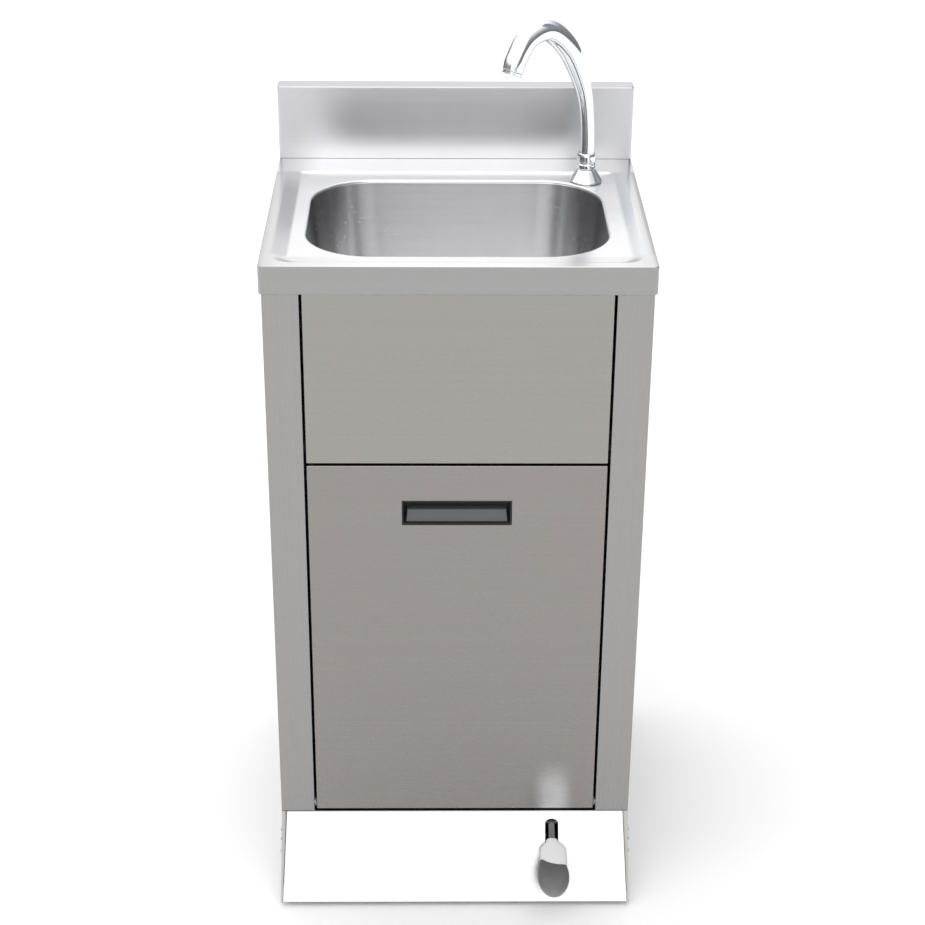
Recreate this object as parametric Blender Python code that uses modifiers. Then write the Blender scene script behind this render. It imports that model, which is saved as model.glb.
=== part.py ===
"""Portable handwash sink: a stainless steel cabinet with a pressed bowl, a swan-neck spout and a foot pedal.

The sheet-metal cabinet stands on four rubber glides. Its sloped plinth has a slot for the pedal, whose lever
works a short-stroke piston pump under the cabinet floor. Two water containers stand behind a drop-down door:
clean water is drawn up to the spout, and the bowl drains into the other container.

Lengths are in millimetres until MM turns them into metres. +Z is up, the front faces -Y, and the origin is on
the floor, under the middle of the object's box.
"""

import math

import bmesh
import bpy
from mathutils import Matrix, Vector

MM = 0.001

# ---- driving dimensions (mm) -------------------------------------------------------------------------------
WIDTH = 450.0  # worktop, side to side
DEPTH = 400.0  # worktop, front edge to the back of the upstand
DECK_Z = 850.0  # top of the worktop's raised rim above the floor
FRONT_Y = -150.0  # front face of the worktop's edge
BACK_Y = FRONT_Y + DEPTH
EDGE_H = 35.0  # height of the worktop's turned-down edge
UPSTAND_H = 95.0
UPSTAND_T = 24.0
TOP_T = 1.5  # worktop sheet
SHEET = 1.2  # cabinet sheet
GAP = 0.4  # between touching pieces

CAB_W = 444.0
CAB_FRONT = FRONT_Y + 3.0
CAB_BACK = BACK_Y - 3.0
CAB_TOP = 843.0
STILE_W = 42.0
FOOT_H = 6.0
SLOPE_TOP = 101.5  # height where the sloped plinth starts
SLOPE_OUT = 65.0  # how far the plinth comes forward at the floor

RIM_W = 13.0  # flat rim round the deck
RIM_SLOPE = 14.0  # width of the slope from rim to deck
DECK_DROP = 3.0
LEDGE_W = 50.0  # flat ledge in front of the upstand
BOWL_HX, BOWL_HY, BOWL_R = 176.5, 130.3, 76.0
BOWL_Y = 20.8
BOWL_DEPTH = 150.0
DRAIN_R = 23.5

DOOR_T = 22.0
DOOR_LOW = 105.0
DOOR_HIGH = 598.5
DOOR_HX = 177.0
APRON_LOW = 601.5
HINGE_Y = CAB_FRONT + 6.0
HINGE_Z = DOOR_LOW + 8.0
HANDLE_Z, HANDLE_HX, HANDLE_HZ, HANDLE_D = 536.0, 65.5, 16.5, 17.0

TAP_X, TAP_Y = 162.0, 151.0
TAP_AZ = math.radians(37.6)  # the spout points this far forward of -X
TAP_Z = DECK_Z - DECK_DROP

PEDAL_X = 124.0
PIVOT_Y, PIVOT_Z = -143.3, 82.0
PEDAL_TIP = (-250.0, 45.0)
PUMP_Z = 40.0
BARREL_R, BORE_R = 31.0, 28.0

NOSE = (8.0, -42.0)  # the lever nose's centre, from the pivot
PUMP_BACK = -15.3  # shifts the barrel, gland, head and piston along Y

CAN_HX, CAN_HY, CAN_H = 81.0, 160.0, 380.0
CAN_X, CAN_Y, CAN_Z = 90.0, 46.0, SLOPE_TOP + 0.2
NECK_R, NECK_H, NECK_Y = 28.0, 24.0, -62.0

# ---- scene and helpers ---------------------------------------------------------------------------------------
for old in list(bpy.data.objects):
    bpy.data.objects.remove(old, do_unlink=True)

PARTS = bpy.data.collections.new("portable_handwash_sink")
CUTTERS = bpy.data.collections.new("cutters")
bpy.context.scene.collection.children.link(PARTS)
bpy.context.scene.collection.children.link(CUTTERS)
MATERIALS = {}


def material(name, colour, roughness, metallic):
    if name not in MATERIALS:
        mat = bpy.data.materials.new(name)
        mat.use_nodes = True
        bsdf = mat.node_tree.nodes["Principled BSDF"]
        bsdf.inputs["Base Color"].default_value = (*colour, 1.0)
        bsdf.inputs["Roughness"].default_value = roughness
        bsdf.inputs["Metallic"].default_value = metallic
        MATERIALS[name] = mat
    return MATERIALS[name]


STEEL = material("brushed_steel", (0.62, 0.61, 0.60), 0.32, 1.0)
CHROME = material("chrome", (0.85, 0.86, 0.88), 0.06, 1.0)
BLACK = material("dark_plastic", (0.05, 0.055, 0.06), 0.45, 0.0)
GREY_RUBBER = material("grey_rubber", (0.16, 0.16, 0.165), 0.6, 0.0)
RUBBER = material("black_rubber", (0.03, 0.03, 0.03), 0.8, 0.0)
NATURAL = material("natural_plastic", (0.80, 0.83, 0.84), 0.4, 0.0)
BLUE = material("blue_plastic", (0.06, 0.20, 0.50), 0.4, 0.0)
GREY = material("grey_plastic", (0.35, 0.36, 0.37), 0.5, 0.0)
HOSE = material("hose_plastic", (0.70, 0.74, 0.76), 0.35, 0.0)


def link(obj, mat=None, cutter=False):
    (CUTTERS if cutter else PARTS).objects.link(obj)
    if mat is not None:
        obj.data.materials.append(mat)
    if cutter:
        obj.hide_render = True
        obj.display_type = "WIRE"
    return obj


def from_bmesh(name, bm, mat=None, cutter=False, smooth=None):
    mesh = bpy.data.meshes.new(name)
    bm.to_mesh(mesh)
    bm.free()
    if smooth is not None:
        mesh.shade_smooth()
        mesh.set_sharp_from_angle(angle=math.radians(smooth))
    return link(bpy.data.objects.new(name, mesh), mat, cutter)


def box(name, lo, hi, mat=None, cutter=False, bevel=0.0, segments=2):
    """A block from one corner to the other."""
    bm = bmesh.new()
    bmesh.ops.create_cube(bm, size=1.0)
    lo, hi = Vector(lo), Vector(hi)
    bmesh.ops.scale(bm, vec=(hi - lo) * MM, verts=bm.verts)
    bmesh.ops.translate(bm, vec=(hi + lo) * 0.5 * MM, verts=bm.verts)
    obj = from_bmesh(name, bm, mat, cutter)
    if bevel:
        b = obj.modifiers.new("edge", "BEVEL")
        b.width, b.segments, b.limit_method = bevel * MM, segments, "ANGLE"
    return obj


def rod(name, start, end, radius, mat=None, cutter=False, sides=24, radius_end=None):
    """A cylinder or cone between two points."""
    start, end = Vector(start) * MM, Vector(end) * MM
    axis = end - start
    bm = bmesh.new()
    bmesh.ops.create_cone(
        bm, cap_ends=True, segments=sides, radius1=radius * MM,
        radius2=(radius if radius_end is None else radius_end) * MM, depth=axis.length,
    )
    turn = Vector((0, 0, 1)).rotation_difference(axis.normalized()).to_matrix().to_4x4()
    bmesh.ops.transform(bm, matrix=Matrix.Translation((start + end) / 2) @ turn, verts=bm.verts)
    return from_bmesh(name, bm, mat, cutter, smooth=40)


def turned(name, profile, at, mat, steps=24, axis="Z"):
    """A solid or ring turned about an upright axis at `at`. The profile is a closed loop of (radius, height)."""
    mesh = bpy.data.meshes.new(name)
    n = len(profile)
    area = sum(a[0] * b[1] - b[0] * a[1] for a, b in zip(profile, profile[1:] + profile[:1]))
    if area > 0:  # the profile runs down its outer side, so that the faces look out
        profile = profile[::-1]
    on_axis = [i for i, (r, _) in enumerate(profile) if r < 1e-9]
    edges = [(i, (i + 1) % n) for i in range(n)]
    if len(on_axis) >= 2:  # a solid piece: the profile stays open along the axis
        edges = [e for e in edges if not (e[0] in on_axis and e[1] in on_axis)]
    mesh.from_pydata([(r * MM, 0, z * MM) for r, z in profile], edges, [])
    obj = bpy.data.objects.new(name, mesh)
    link(obj, mat)
    s = obj.modifiers.new("turn", "SCREW")
    s.steps = s.render_steps = steps
    s.use_merge_vertices, s.merge_threshold = True, 0.00001
    s.use_smooth_shade = True
    obj.location = Vector(at) * MM
    if axis == "Y":  # the profile's height runs along +Y
        obj.rotation_euler = (-math.pi / 2, 0, 0)
    return obj


def nut(name, at, low, high, across, hole, mat, sides=6):
    """A nut with flats outside and a round hole."""
    x, y, z = at
    obj = rod(name, (x, y, z + low), (x, y, z + high), across / 2 / math.cos(math.pi / sides), mat, sides=sides)
    return boolean(obj, rod(name + "_hole", (x, y, z + low - 5), (x, y, z + high + 5), hole, cutter=True, sides=28))


def flat_outline(name, loops, low, high, plane, mat=None, cutter=False):
    """A plate cut to an outline: loops of 2D points, the first outside and the rest holes.
    plane YZ runs through X from low to high, and plane XY through Z."""
    curve = bpy.data.curves.new(name, "CURVE")
    curve.dimensions, curve.fill_mode = "2D", "BOTH"
    curve.extrude = abs(high - low) / 2 * MM
    for loop in loops:
        spline = curve.splines.new("POLY")
        spline.points.add(len(loop) - 1)
        for point, (a, b) in zip(spline.points, loop):
            point.co = (a * MM, b * MM, 0, 1)
        spline.use_cyclic_u = True
    obj = bpy.data.objects.new(name, curve)
    PARTS.objects.link(obj)
    mid = (low + high) / 2 * MM
    if plane == "YZ":  # the outline's x runs along +Y and its y along +Z
        obj.matrix_world = Matrix(((0, 0, 1, mid), (1, 0, 0, 0), (0, 1, 0, 0), (0, 0, 0, 1)))
    else:
        obj.matrix_world = Matrix.Translation((0, 0, mid))
    return to_mesh(obj, mat, cutter)


def to_mesh(obj, mat=None, cutter=False):
    """A curve made into a welded mesh, so that it can be cut, joined or given a thickness."""
    bpy.context.view_layer.update()
    name, world = obj.name, obj.matrix_world.copy()
    mesh = bpy.data.meshes.new_from_object(obj.evaluated_get(bpy.context.evaluated_depsgraph_get()))
    bm = bmesh.new()
    bm.from_mesh(mesh)
    bmesh.ops.remove_doubles(bm, verts=bm.verts, dist=0.00002)
    bmesh.ops.transform(bm, matrix=world, verts=bm.verts)
    bpy.data.objects.remove(obj, do_unlink=True)
    bpy.data.meshes.remove(mesh)
    return from_bmesh(name, bm, mat, cutter, smooth=40)


def folded(name, profile, run, thickness, mat, inward=-1.0):
    """A folded sheet: a chain of 3D points drawn along `run`, then given its thickness."""
    bm = bmesh.new()
    verts = [bm.verts.new(Vector(p) * MM) for p in profile]
    edges = [bm.edges.new(pair) for pair in zip(verts, verts[1:])]
    made = bmesh.ops.extrude_edge_only(bm, edges=edges)["geom"]
    bmesh.ops.translate(bm, vec=Vector(run) * MM, verts=[v for v in made if isinstance(v, bmesh.types.BMVert)])
    obj = from_bmesh(name, bm, mat)
    thicken(obj, thickness, inward)
    return obj


def thicken(obj, thickness, offset=-1.0):
    s = obj.modifiers.new("sheet", "SOLIDIFY")
    s.thickness, s.offset, s.use_even_offset = thickness * MM, offset, True
    s.use_quality_normals = True
    return s


def pan(name, lo, hi, open_side, thickness, mat):
    """A box of sheet with one side left open, such as '+Y', and its thickness inside the box."""
    bm = bmesh.new()
    bmesh.ops.create_cube(bm, size=1.0)
    lo, hi = Vector(lo), Vector(hi)
    bmesh.ops.scale(bm, vec=(hi - lo) * MM, verts=bm.verts)
    bmesh.ops.translate(bm, vec=(hi + lo) * 0.5 * MM, verts=bm.verts)
    k, sign = "XYZ".index(open_side[1]), 1 if open_side[0] == "+" else -1
    bmesh.ops.delete(bm, geom=[f for f in bm.faces if f.normal[k] * sign > 0.9], context="FACES_ONLY")
    obj = from_bmesh(name, bm, mat)
    thicken(obj, thickness, -1.0)
    return obj


def boolean(obj, other, operation="DIFFERENCE"):
    b = obj.modifiers.new(other.name, "BOOLEAN")
    b.operation, b.object = operation, other
    if operation == "UNION":
        PARTS.objects.unlink(other)
        CUTTERS.objects.link(other)
        other.hide_render = True
        other.display_type = "WIRE"
    return obj


def rounded(cx, cy, hx, hy, r, corner=6):
    """Points of a rounded rectangle, corner + 1 to each corner, counter-clockwise from the right side."""
    points = []
    for k, (sx, sy) in enumerate(((1, 1), (-1, 1), (-1, -1), (1, -1))):
        for i in range(corner + 1):
            a = math.pi / 2 * (k + i / corner)
            points.append((cx + sx * (hx - r) + r * math.cos(a), cy + sy * (hy - r) + r * math.sin(a)))
    return points


def loft(name, rings, mat, cap_start=False, cap_end=False, smooth=35):
    """A surface through rings of 3D points, which all have the same number of points."""
    bm = bmesh.new()
    rows = [[bm.verts.new(Vector(p) * MM) for p in ring] for ring in rings]
    for a, b in zip(rows, rows[1:]):
        for i in range(len(a)):
            j = (i + 1) % len(a)
            bm.faces.new((a[i], a[j], b[j], b[i]))
    if cap_start:
        bm.faces.new(list(reversed(rows[0])))
    if cap_end:
        bm.faces.new(rows[-1])
    bmesh.ops.recalc_face_normals(bm, faces=bm.faces)
    return from_bmesh(name, bm, mat, smooth=smooth)


def curve_points(knots, count):
    """Points on a smooth curve through the knots (Catmull-Rom), evenly shared between them."""
    knots = [Vector(k) for k in knots]
    ends = [2 * knots[0] - knots[1], *knots, 2 * knots[-1] - knots[-2]]
    spans, out = len(knots) - 1, []
    for n in range(count + 1):
        t = n / count * spans
        i = min(int(t), spans - 1)
        u = t - i
        p0, p1, p2, p3 = ends[i : i + 4]
        out.append(0.5 * (2 * p1 + (p2 - p0) * u + (2 * p0 - 5 * p1 + 4 * p2 - p3) * u**2 + (3 * p1 - p0 - 3 * p2 + p3) * u**3))
    return out


def tube(name, points, radius, mat, caps=True, resolution=2, radii=None):
    curve = bpy.data.curves.new(name, "CURVE")
    curve.dimensions = "3D"
    curve.bevel_depth, curve.bevel_resolution, curve.use_fill_caps = radius * MM, resolution, caps
    spline = curve.splines.new("POLY")
    spline.points.add(len(points) - 1)
    for k, (point, p) in enumerate(zip(spline.points, points)):
        point.co = (*(Vector(p) * MM), 1)
        if radii:
            point.radius = radii[k] / radius
    return link(bpy.data.objects.new(name, curve), mat)


# ---- worktop, bowl and upstand -------------------------------------------------------------------------------
def worktop():
    cx, cy, hx, hy = 0.0, (FRONT_Y + BACK_Y) / 2, WIDTH / 2, DEPTH / 2
    low = DECK_Z - EDGE_H
    deck = DECK_Z - DECK_DROP
    deck_front = FRONT_Y + RIM_W
    deck_back = BACK_Y - UPSTAND_T - LEDGE_W
    inner_hx = WIDTH / 2 - RIM_W

    def ring(points, z):
        return [(x, y, z) for x, y in points]

    mid_y, mid_h = (deck_front + deck_back) / 2, (deck_back - deck_front) / 2
    rings = [
        ring(rounded(cx, cy, hx, hy, 4, 4), low),
        ring(rounded(cx, cy, hx, hy, 4, 4), DECK_Z - 2.5),
        ring(rounded(cx, cy, hx - 0.8, hy - 0.8, 3.4, 4), DECK_Z - 0.7),
        ring(rounded(cx, cy, hx - 2.5, hy - 2.5, 3, 4), DECK_Z),
        ring(rounded(cx, mid_y, inner_hx, mid_h, 16, 4), DECK_Z),
        ring(rounded(cx, mid_y + 2.75, inner_hx - RIM_SLOPE, mid_h - 6.25, 14, 4), deck),
        ring(rounded(cx, BOWL_Y, BOWL_HX + 1.5, BOWL_HY + 1.5, BOWL_R + 1.5, 4), deck),
    ]
    top = loft("worktop", rings, STEEL)
    # the surface is the sheet's upper side, so the thickness goes down and in
    thicken(top, TOP_T, -1.0)
    boolean(top, rod("tap_hole", (TAP_X, TAP_Y, 830), (TAP_X, TAP_Y, 860), 11.0, cutter=True))
    return top


def bowl():
    top = TAP_Z - TOP_T - GAP
    floor = TAP_Z - BOWL_DEPTH
    n = 5

    def ring(inset, r, z, hx=BOWL_HX, hy=BOWL_HY):
        return [(x, y, z) for x, y in rounded(0, BOWL_Y, hx - inset, hy - inset, max(r, 0.1), n)]

    rings = [
        ring(-4.5, BOWL_R + 4.5, top),
        ring(-1.5, BOWL_R + 1.5, top),
        ring(0, BOWL_R, top - 2),
        ring(7, BOWL_R - 5, top - 60),
        ring(13, BOWL_R - 9, floor + 34),
        ring(17, BOWL_R - 12, floor + 18),
        ring(27, BOWL_R - 18, floor + 6),
        ring(42, BOWL_R - 28, floor + 1.0),
        ring(70, 30, floor - 0.6),
        [(x, y, floor - 3.2) for x, y in rounded(0, BOWL_Y, 38, 38, 38, n)],
        [(x, y, floor - 5.0) for x, y in rounded(0, BOWL_Y, 35.5, 35.5, 35.5, n)],
        [(x, y, floor - 5.0) for x, y in rounded(0, BOWL_Y, DRAIN_R, DRAIN_R, DRAIN_R, n)],
    ]
    obj = loft("bowl", rings, STEEL)
    thicken(obj, SHEET, -1.0 if face_points_in(obj) else 1.0)
    return obj


def face_points_in(obj):
    """Whether the open bowl's faces look into it, at the side wall."""
    faces = [f for f in obj.data.polygons if abs(f.normal.z) < 0.5]
    f = max(faces, key=lambda q: q.center.x)
    return f.normal.x < 0


worktop()
bowl()
pan("upstand", (-WIDTH / 2, BACK_Y - UPSTAND_T, DECK_Z + GAP), (WIDTH / 2, BACK_Y, DECK_Z + UPSTAND_H), "-Z", SHEET, STEEL)


# ---- cabinet -------------------------------------------------------------------------------------------------
def side_panel(sign, name):
    """One folded sheet: the side, its stile and the return behind it, a return at the back and a lip on the slope."""
    half = CAB_W / 2
    stile = half - STILE_W
    low = SLOPE_TOP + 0.8
    toe = CAB_FRONT - SLOPE_OUT
    bm = bmesh.new()

    def v(x, y, z):
        return bm.verts.new(Vector((sign * x, y, z)) * MM)

    top_front, low_front = v(half, CAB_FRONT, CAB_TOP), v(half, CAB_FRONT, low)
    slope_top, slope_toe = v(half, CAB_FRONT, SLOPE_TOP), v(half, toe, FOOT_H)
    heel, low_back, top_back = v(half, CAB_BACK, FOOT_H), v(half, CAB_BACK, low), v(half, CAB_BACK, CAB_TOP)
    stile_top, stile_low = v(stile, CAB_FRONT, CAB_TOP), v(stile, CAB_FRONT, low)
    inner_top, inner_low = v(stile, CAB_FRONT + 18, CAB_TOP), v(stile, CAB_FRONT + 18, low)
    rear_top, rear_low = v(half - 22, CAB_BACK, CAB_TOP), v(half - 22, CAB_BACK, low)
    lip_top, lip_toe = v(half - 6, CAB_FRONT, SLOPE_TOP), v(half - 6, toe, FOOT_H)
    for loop in (
        (top_front, low_front, slope_top, slope_toe, heel, low_back, top_back),
        (stile_top, stile_low, low_front, top_front),
        (inner_top, inner_low, stile_low, stile_top),
        (top_back, low_back, rear_low, rear_top),
        (slope_top, lip_top, lip_toe, slope_toe),
    ):
        bm.faces.new(loop if sign > 0 else tuple(reversed(loop)))
    panel = from_bmesh(name, bm, STEEL)
    thicken(panel, SHEET, -1.0)
    pin = rod(name + "_pin_hole", (sign * (stile - 4), HINGE_Y, HINGE_Z), (sign * (stile + 8), HINGE_Y, HINGE_Z), 3.4, cutter=True, sides=16)
    boolean(panel, pin)
    return panel


side_panel(-1, "side_panel_left")
side_panel(1, "side_panel_right")

# the back closes the cabinet inside the side panels' rear returns
box("back_panel", (-220.3, CAB_BACK - 2 * SHEET - GAP, 24.6), (220.3, CAB_BACK - SHEET - GAP, 841), STEEL)

floor = pan("floor_pan", (-219.6, -131.5, 100.0), (219.6, 242.8, 121.0), "+Z", SHEET, STEEL)
# the floor pan's front is open, so that the containers slide in over its edge
boolean(floor, box("floor_front", (-230, -140, SLOPE_TOP + 0.1), (230, -120, 130), cutter=True))
for tag, hole_y in (("suction", -20.0), ("supply", 34.0)):
    boolean(floor, rod("floor_hole_" + tag, (198, hole_y, 90), (198, hole_y, 110), 8.0, cutter=True))

pan("base_pan", (-219.6, -187.0, FOOT_H), (219.6, 243.0, 24.0), "+Z", SHEET, STEEL)

slope_dir = Vector((-SLOPE_OUT, FOOT_H - SLOPE_TOP)).normalized()
plinth = folded(
    "plinth_front",
    [
        (-215.3, CAB_FRONT + 13, SLOPE_TOP), (-215.3, CAB_FRONT, SLOPE_TOP),
        (-215.3, CAB_FRONT - SLOPE_OUT, FOOT_H), (-215.3, CAB_FRONT - SLOPE_OUT + 22, FOOT_H),
    ],
    (430.6, 0, 0), TOP_T, STEEL, inward=1.0,
)
boolean(plinth, box("pedal_slot", (PEDAL_X - 8.4, -196, 50), (PEDAL_X + 8.4, -136, 93.0), cutter=True))

pan("front_apron", (-DOOR_HX, CAB_FRONT, APRON_LOW), (DOOR_HX, CAB_FRONT + 15, CAB_TOP), "+Y", SHEET, STEEL)
folded(
    "front_rail",
    [(-178, -98, 574), (-178, -112, 574), (-178, -112, 628), (-178, -98, 628)],
    (356, 0, 0), SHEET, STEEL, inward=-1.0,
)
for sign, side in ((-1, "left"), (1, "right")):
    box("catch_" + side, sorted_lo := (sign * 118 - 16, CAB_FRONT + DOOR_T + 0.5, 580), (sign * 118 + 16, -112.4, 594), BLACK, bevel=1.0)

for sx, xs in ((-1, "left"), (1, "right")):
    for fy, ys in ((-168.0, "front"), (214.0, "rear")):
        turned(
            f"foot_{ys}_{xs}",
            [(0, FOOT_H - GAP), (14, FOOT_H - GAP), (15.5, 2.5), (14, 0), (0, 0)],
            (sx * 190, fy, 0), RUBBER, steps=20,
        )

# ---- door ----------------------------------------------------------------------------------------------------
skin = pan("door_skin", (-DOOR_HX, CAB_FRONT, DOOR_LOW), (DOOR_HX, CAB_FRONT + DOOR_T - 1.4, DOOR_HIGH), "+Y", SHEET, STEEL)
boolean(skin, box("handle_cutout", (-HANDLE_HX, CAB_FRONT - 5, HANDLE_Z - HANDLE_HZ), (HANDLE_HX, CAB_FRONT + 5, HANDLE_Z + HANDLE_HZ), cutter=True))
for sign, side in ((-1, "left"), (1, "right")):
    boolean(skin, rod("bush_hole_" + side, (sign * 172, HINGE_Y, HINGE_Z), (sign * 180, HINGE_Y, HINGE_Z), 5.2, cutter=True, sides=20))
pan("door_liner", (-DOOR_HX + 0.5, CAB_FRONT + DOOR_T - 1.0, DOOR_LOW + 0.5), (DOOR_HX - 0.5, CAB_FRONT + DOOR_T, DOOR_HIGH - 0.5), "-Y", 0.9, STEEL)
bpy.data.objects.remove(bpy.data.objects["door_liner"], do_unlink=True)
box("door_liner", (-DOOR_HX + 0.5, CAB_FRONT + DOOR_T - 1.0, DOOR_LOW + 0.5), (DOOR_HX - 0.5, CAB_FRONT + DOOR_T, DOOR_HIGH - 0.5), STEEL)
# a cup behind the cut-out, closed at the back, with a lip behind the skin
cup = pan(
    "handle_cup",
    (-HANDLE_HX + 0.4, CAB_FRONT + 0.2, HANDLE_Z - HANDLE_HZ + 0.4),
    (HANDLE_HX - 0.4, CAB_FRONT + HANDLE_D, HANDLE_Z + HANDLE_HZ - 0.4), "-Y", 1.5, BLACK,
)
flange = box(
    "handle_cup_lip",
    (-HANDLE_HX - 8, CAB_FRONT + SHEET + GAP, HANDLE_Z - HANDLE_HZ - 8),
    (HANDLE_HX + 8, CAB_FRONT + SHEET + GAP + 1.6, HANDLE_Z + HANDLE_HZ + 8), BLACK,
)
boolean(flange, box("handle_cup_mouth", (-HANDLE_HX + 1.2, CAB_FRONT - 5, HANDLE_Z - HANDLE_HZ + 1.2), (HANDLE_HX - 1.2, CAB_FRONT + 15, HANDLE_Z + HANDLE_HZ - 1.2), cutter=True))
boolean(cup, flange, "UNION")
for sign, side in ((-1, "left"), (1, "right")):
    x = sign * DOOR_HX
    turned(
        "hinge_bush_" + side,
        [(3.3, -2.0), (5.7, -2.0), (5.7, -0.4), (4.7, -0.4), (4.7, 8.0), (3.3, 8.0)],
        (x, HINGE_Y, HINGE_Z), GREY, steps=20,
    ).rotation_euler = (0, -sign * math.pi / 2, 0)
    turned(
        "hinge_pin_" + side,
        [(0, -9.2), (3.0, -9.2), (3.0, 0.7), (4.3, 0.7), (4.3, 3.2), (0, 3.2)],
        (sign * 181.0, HINGE_Y, HINGE_Z), CHROME, steps=20,
    ).rotation_euler = (0, sign * math.pi / 2, 0)

# ---- drain ---------------------------------------------------------------------------------------------------
drain_z = TAP_Z - BOWL_DEPTH - 5.0
turned(
    "drain_body",
    [(20, 3.0), (33, 1.9), (34.5, GAP), (22.5, GAP), (22.5, -46), (16.2, -50), (16.2, -74), (13.0, -74), (13.0, -47), (20, -43)],
    (0, BOWL_Y, drain_z), CHROME, steps=28,
)
turned("drain_gasket", [(23.2, -1.9), (34, -1.9), (34, -4.6), (23.2, -4.6)], (0, BOWL_Y, drain_z), RUBBER, steps=28)
nut("drain_locknut", (0, BOWL_Y, drain_z), -13.0, -5.0, 62.0, 23.1, GREY, sides=8)
strainer = turned("drain_strainer", [(0, -2.0), (19.5, -2.0), (19.5, -3.4), (0, -3.4)], (0, BOWL_Y, drain_z), CHROME, steps=28)
strainer = turned("drain_strainer_holes", [(0, 0), (1.9, 0), (1.9, -10), (0, -10)], (0, BOWL_Y, drain_z), CHROME, steps=8)
bpy.data.objects.remove(strainer, do_unlink=True)
strainer = bpy.data.objects["drain_strainer"]
for count, radius in ((1, 0.0), (6, 6.4), (10, 13.0)):
    for k in range(count):
        a = 2 * math.pi * k / count
        x, y = radius * math.cos(a), BOWL_Y + radius * math.sin(a)
        boolean(strainer, rod(f"strainer_hole_{count}_{k}", (x, y, drain_z - 8), (x, y, drain_z + 4), 1.9, cutter=True, sides=8))

# the waste hose drops from the drain's tail into the waste container's neck
tail_z = drain_z - 52
neck_top = CAN_Z + CAN_H + NECK_H
wy = NECK_Y + CAN_Y - 46
waste_knots = [
    (0, BOWL_Y, tail_z - 22.8), (0, BOWL_Y, tail_z - 31), (0, BOWL_Y, tail_z - 41), (-11, BOWL_Y - 8, tail_z - 62),
    (-CAN_X / 2, (BOWL_Y + wy) / 2, (tail_z + neck_top) / 2 - 14), (-CAN_X + 11, wy + 8, neck_top + 34),
    (-CAN_X, wy, neck_top + 14), (-CAN_X, wy, neck_top), (-CAN_X, wy, neck_top - 22),
]
NECK_AT = (CAN_X, NECK_Y + CAN_Y - 46)
tube("waste_hose", curve_points(waste_knots, 32), 15.5, GREY, resolution=2)

# ---- tap -----------------------------------------------------------------------------------------------------
turned(
    "tap_base",
    [(10.4, 0.3), (20.2, 0.3), (20.4, 2.0), (19.0, 4.0), (12.4, 14.4), (11.0, 16.0), (10.4, 16.0)],
    (TAP_X, TAP_Y, TAP_Z), CHROME, steps=28,
)
turned(
    "tap_collar",
    [(9.3, 16.4), (11.0, 16.4), (11.0, 24.0), (10.2, 25.2), (11.2, 26.4), (11.2, 34.5), (10.4, 37.0), (9.3, 37.0)],
    (TAP_X, TAP_Y, TAP_Z), CHROME, steps=28,
)
turned("tap_shank", [(6.0, -62), (9.9, -62), (9.9, 15.8), (6.0, 15.8)], (TAP_X, TAP_Y, TAP_Z), CHROME, steps=20)
turned("tap_washer", [(10.4, -4.6), (13.2, -4.6), (13.2, -1.9), (10.4, -1.9)], (TAP_X, TAP_Y, TAP_Z), RUBBER, steps=20)
nut("tap_locknut", (TAP_X, TAP_Y, TAP_Z), -13.0, -5.0, 27.0, 10.4, CHROME)

# the swan neck: knots of (reach towards the bowl, height) above the deck
SPOUT = [(0, 17.5), (0, 58.5), (5, 104), (16.7, 138.5), (37.9, 176.3), (69.7, 201.6), (99.5, 196), (117.1, 173.3), (122.2, 161.2)]
SPOUT_THIN, SPOUT_WIDE, SPOUT_END = 8.9, 14.0, 13.0
reach_dir = Vector((-math.cos(TAP_AZ), -math.sin(TAP_AZ), 0))


def spout_radius(t):
    """The tube swells over the middle of its length, t from 0 at the collar to 1 at the outlet."""
    swell = min(max((t - 0.22) / 0.42, 0.0), 1.0)
    swell = swell * swell * (3 - 2 * swell)
    taper = min(max((t - 0.75) / 0.25, 0.0), 1.0)
    return SPOUT_THIN + (SPOUT_WIDE - SPOUT_THIN) * swell - (SPOUT_WIDE - SPOUT_END) * taper


def spout():
    knots = [Vector((TAP_X, TAP_Y, TAP_Z)) + reach_dir * r + Vector((0, 0, h)) for r, h in SPOUT]
    points = curve_points(knots, 32)
    lengths = [0.0]
    for p, q in zip(points, points[1:]):
        lengths.append(lengths[-1] + (q - p).length)
    radii = [spout_radius(length / lengths[-1]) for length in lengths]
    obj = tube("spout_neck", points, 10.0, CHROME, caps=False, resolution=4, radii=radii)
    obj = to_mesh(obj, CHROME)
    thicken(obj, 1.5, -1.0)
    return points


neck_points = spout()
end = neck_points[-1]
out_dir = (neck_points[-1] - neck_points[-2]).normalized()
aerator = turned(
    "aerator", [(0, -7), (11.0, -7), (11.0, 0.4), (12.6, 0.4), (12.6, 4.0), (11.6, 5.0), (9.0, 5.0), (9.0, 2.5), (0, 2.5)],
    (0, 0, 0), CHROME, steps=24,
)
aerator.matrix_world = Matrix.Translation(end * MM) @ Vector((0, 0, 1)).rotation_difference(out_dir).to_matrix().to_4x4()


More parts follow.
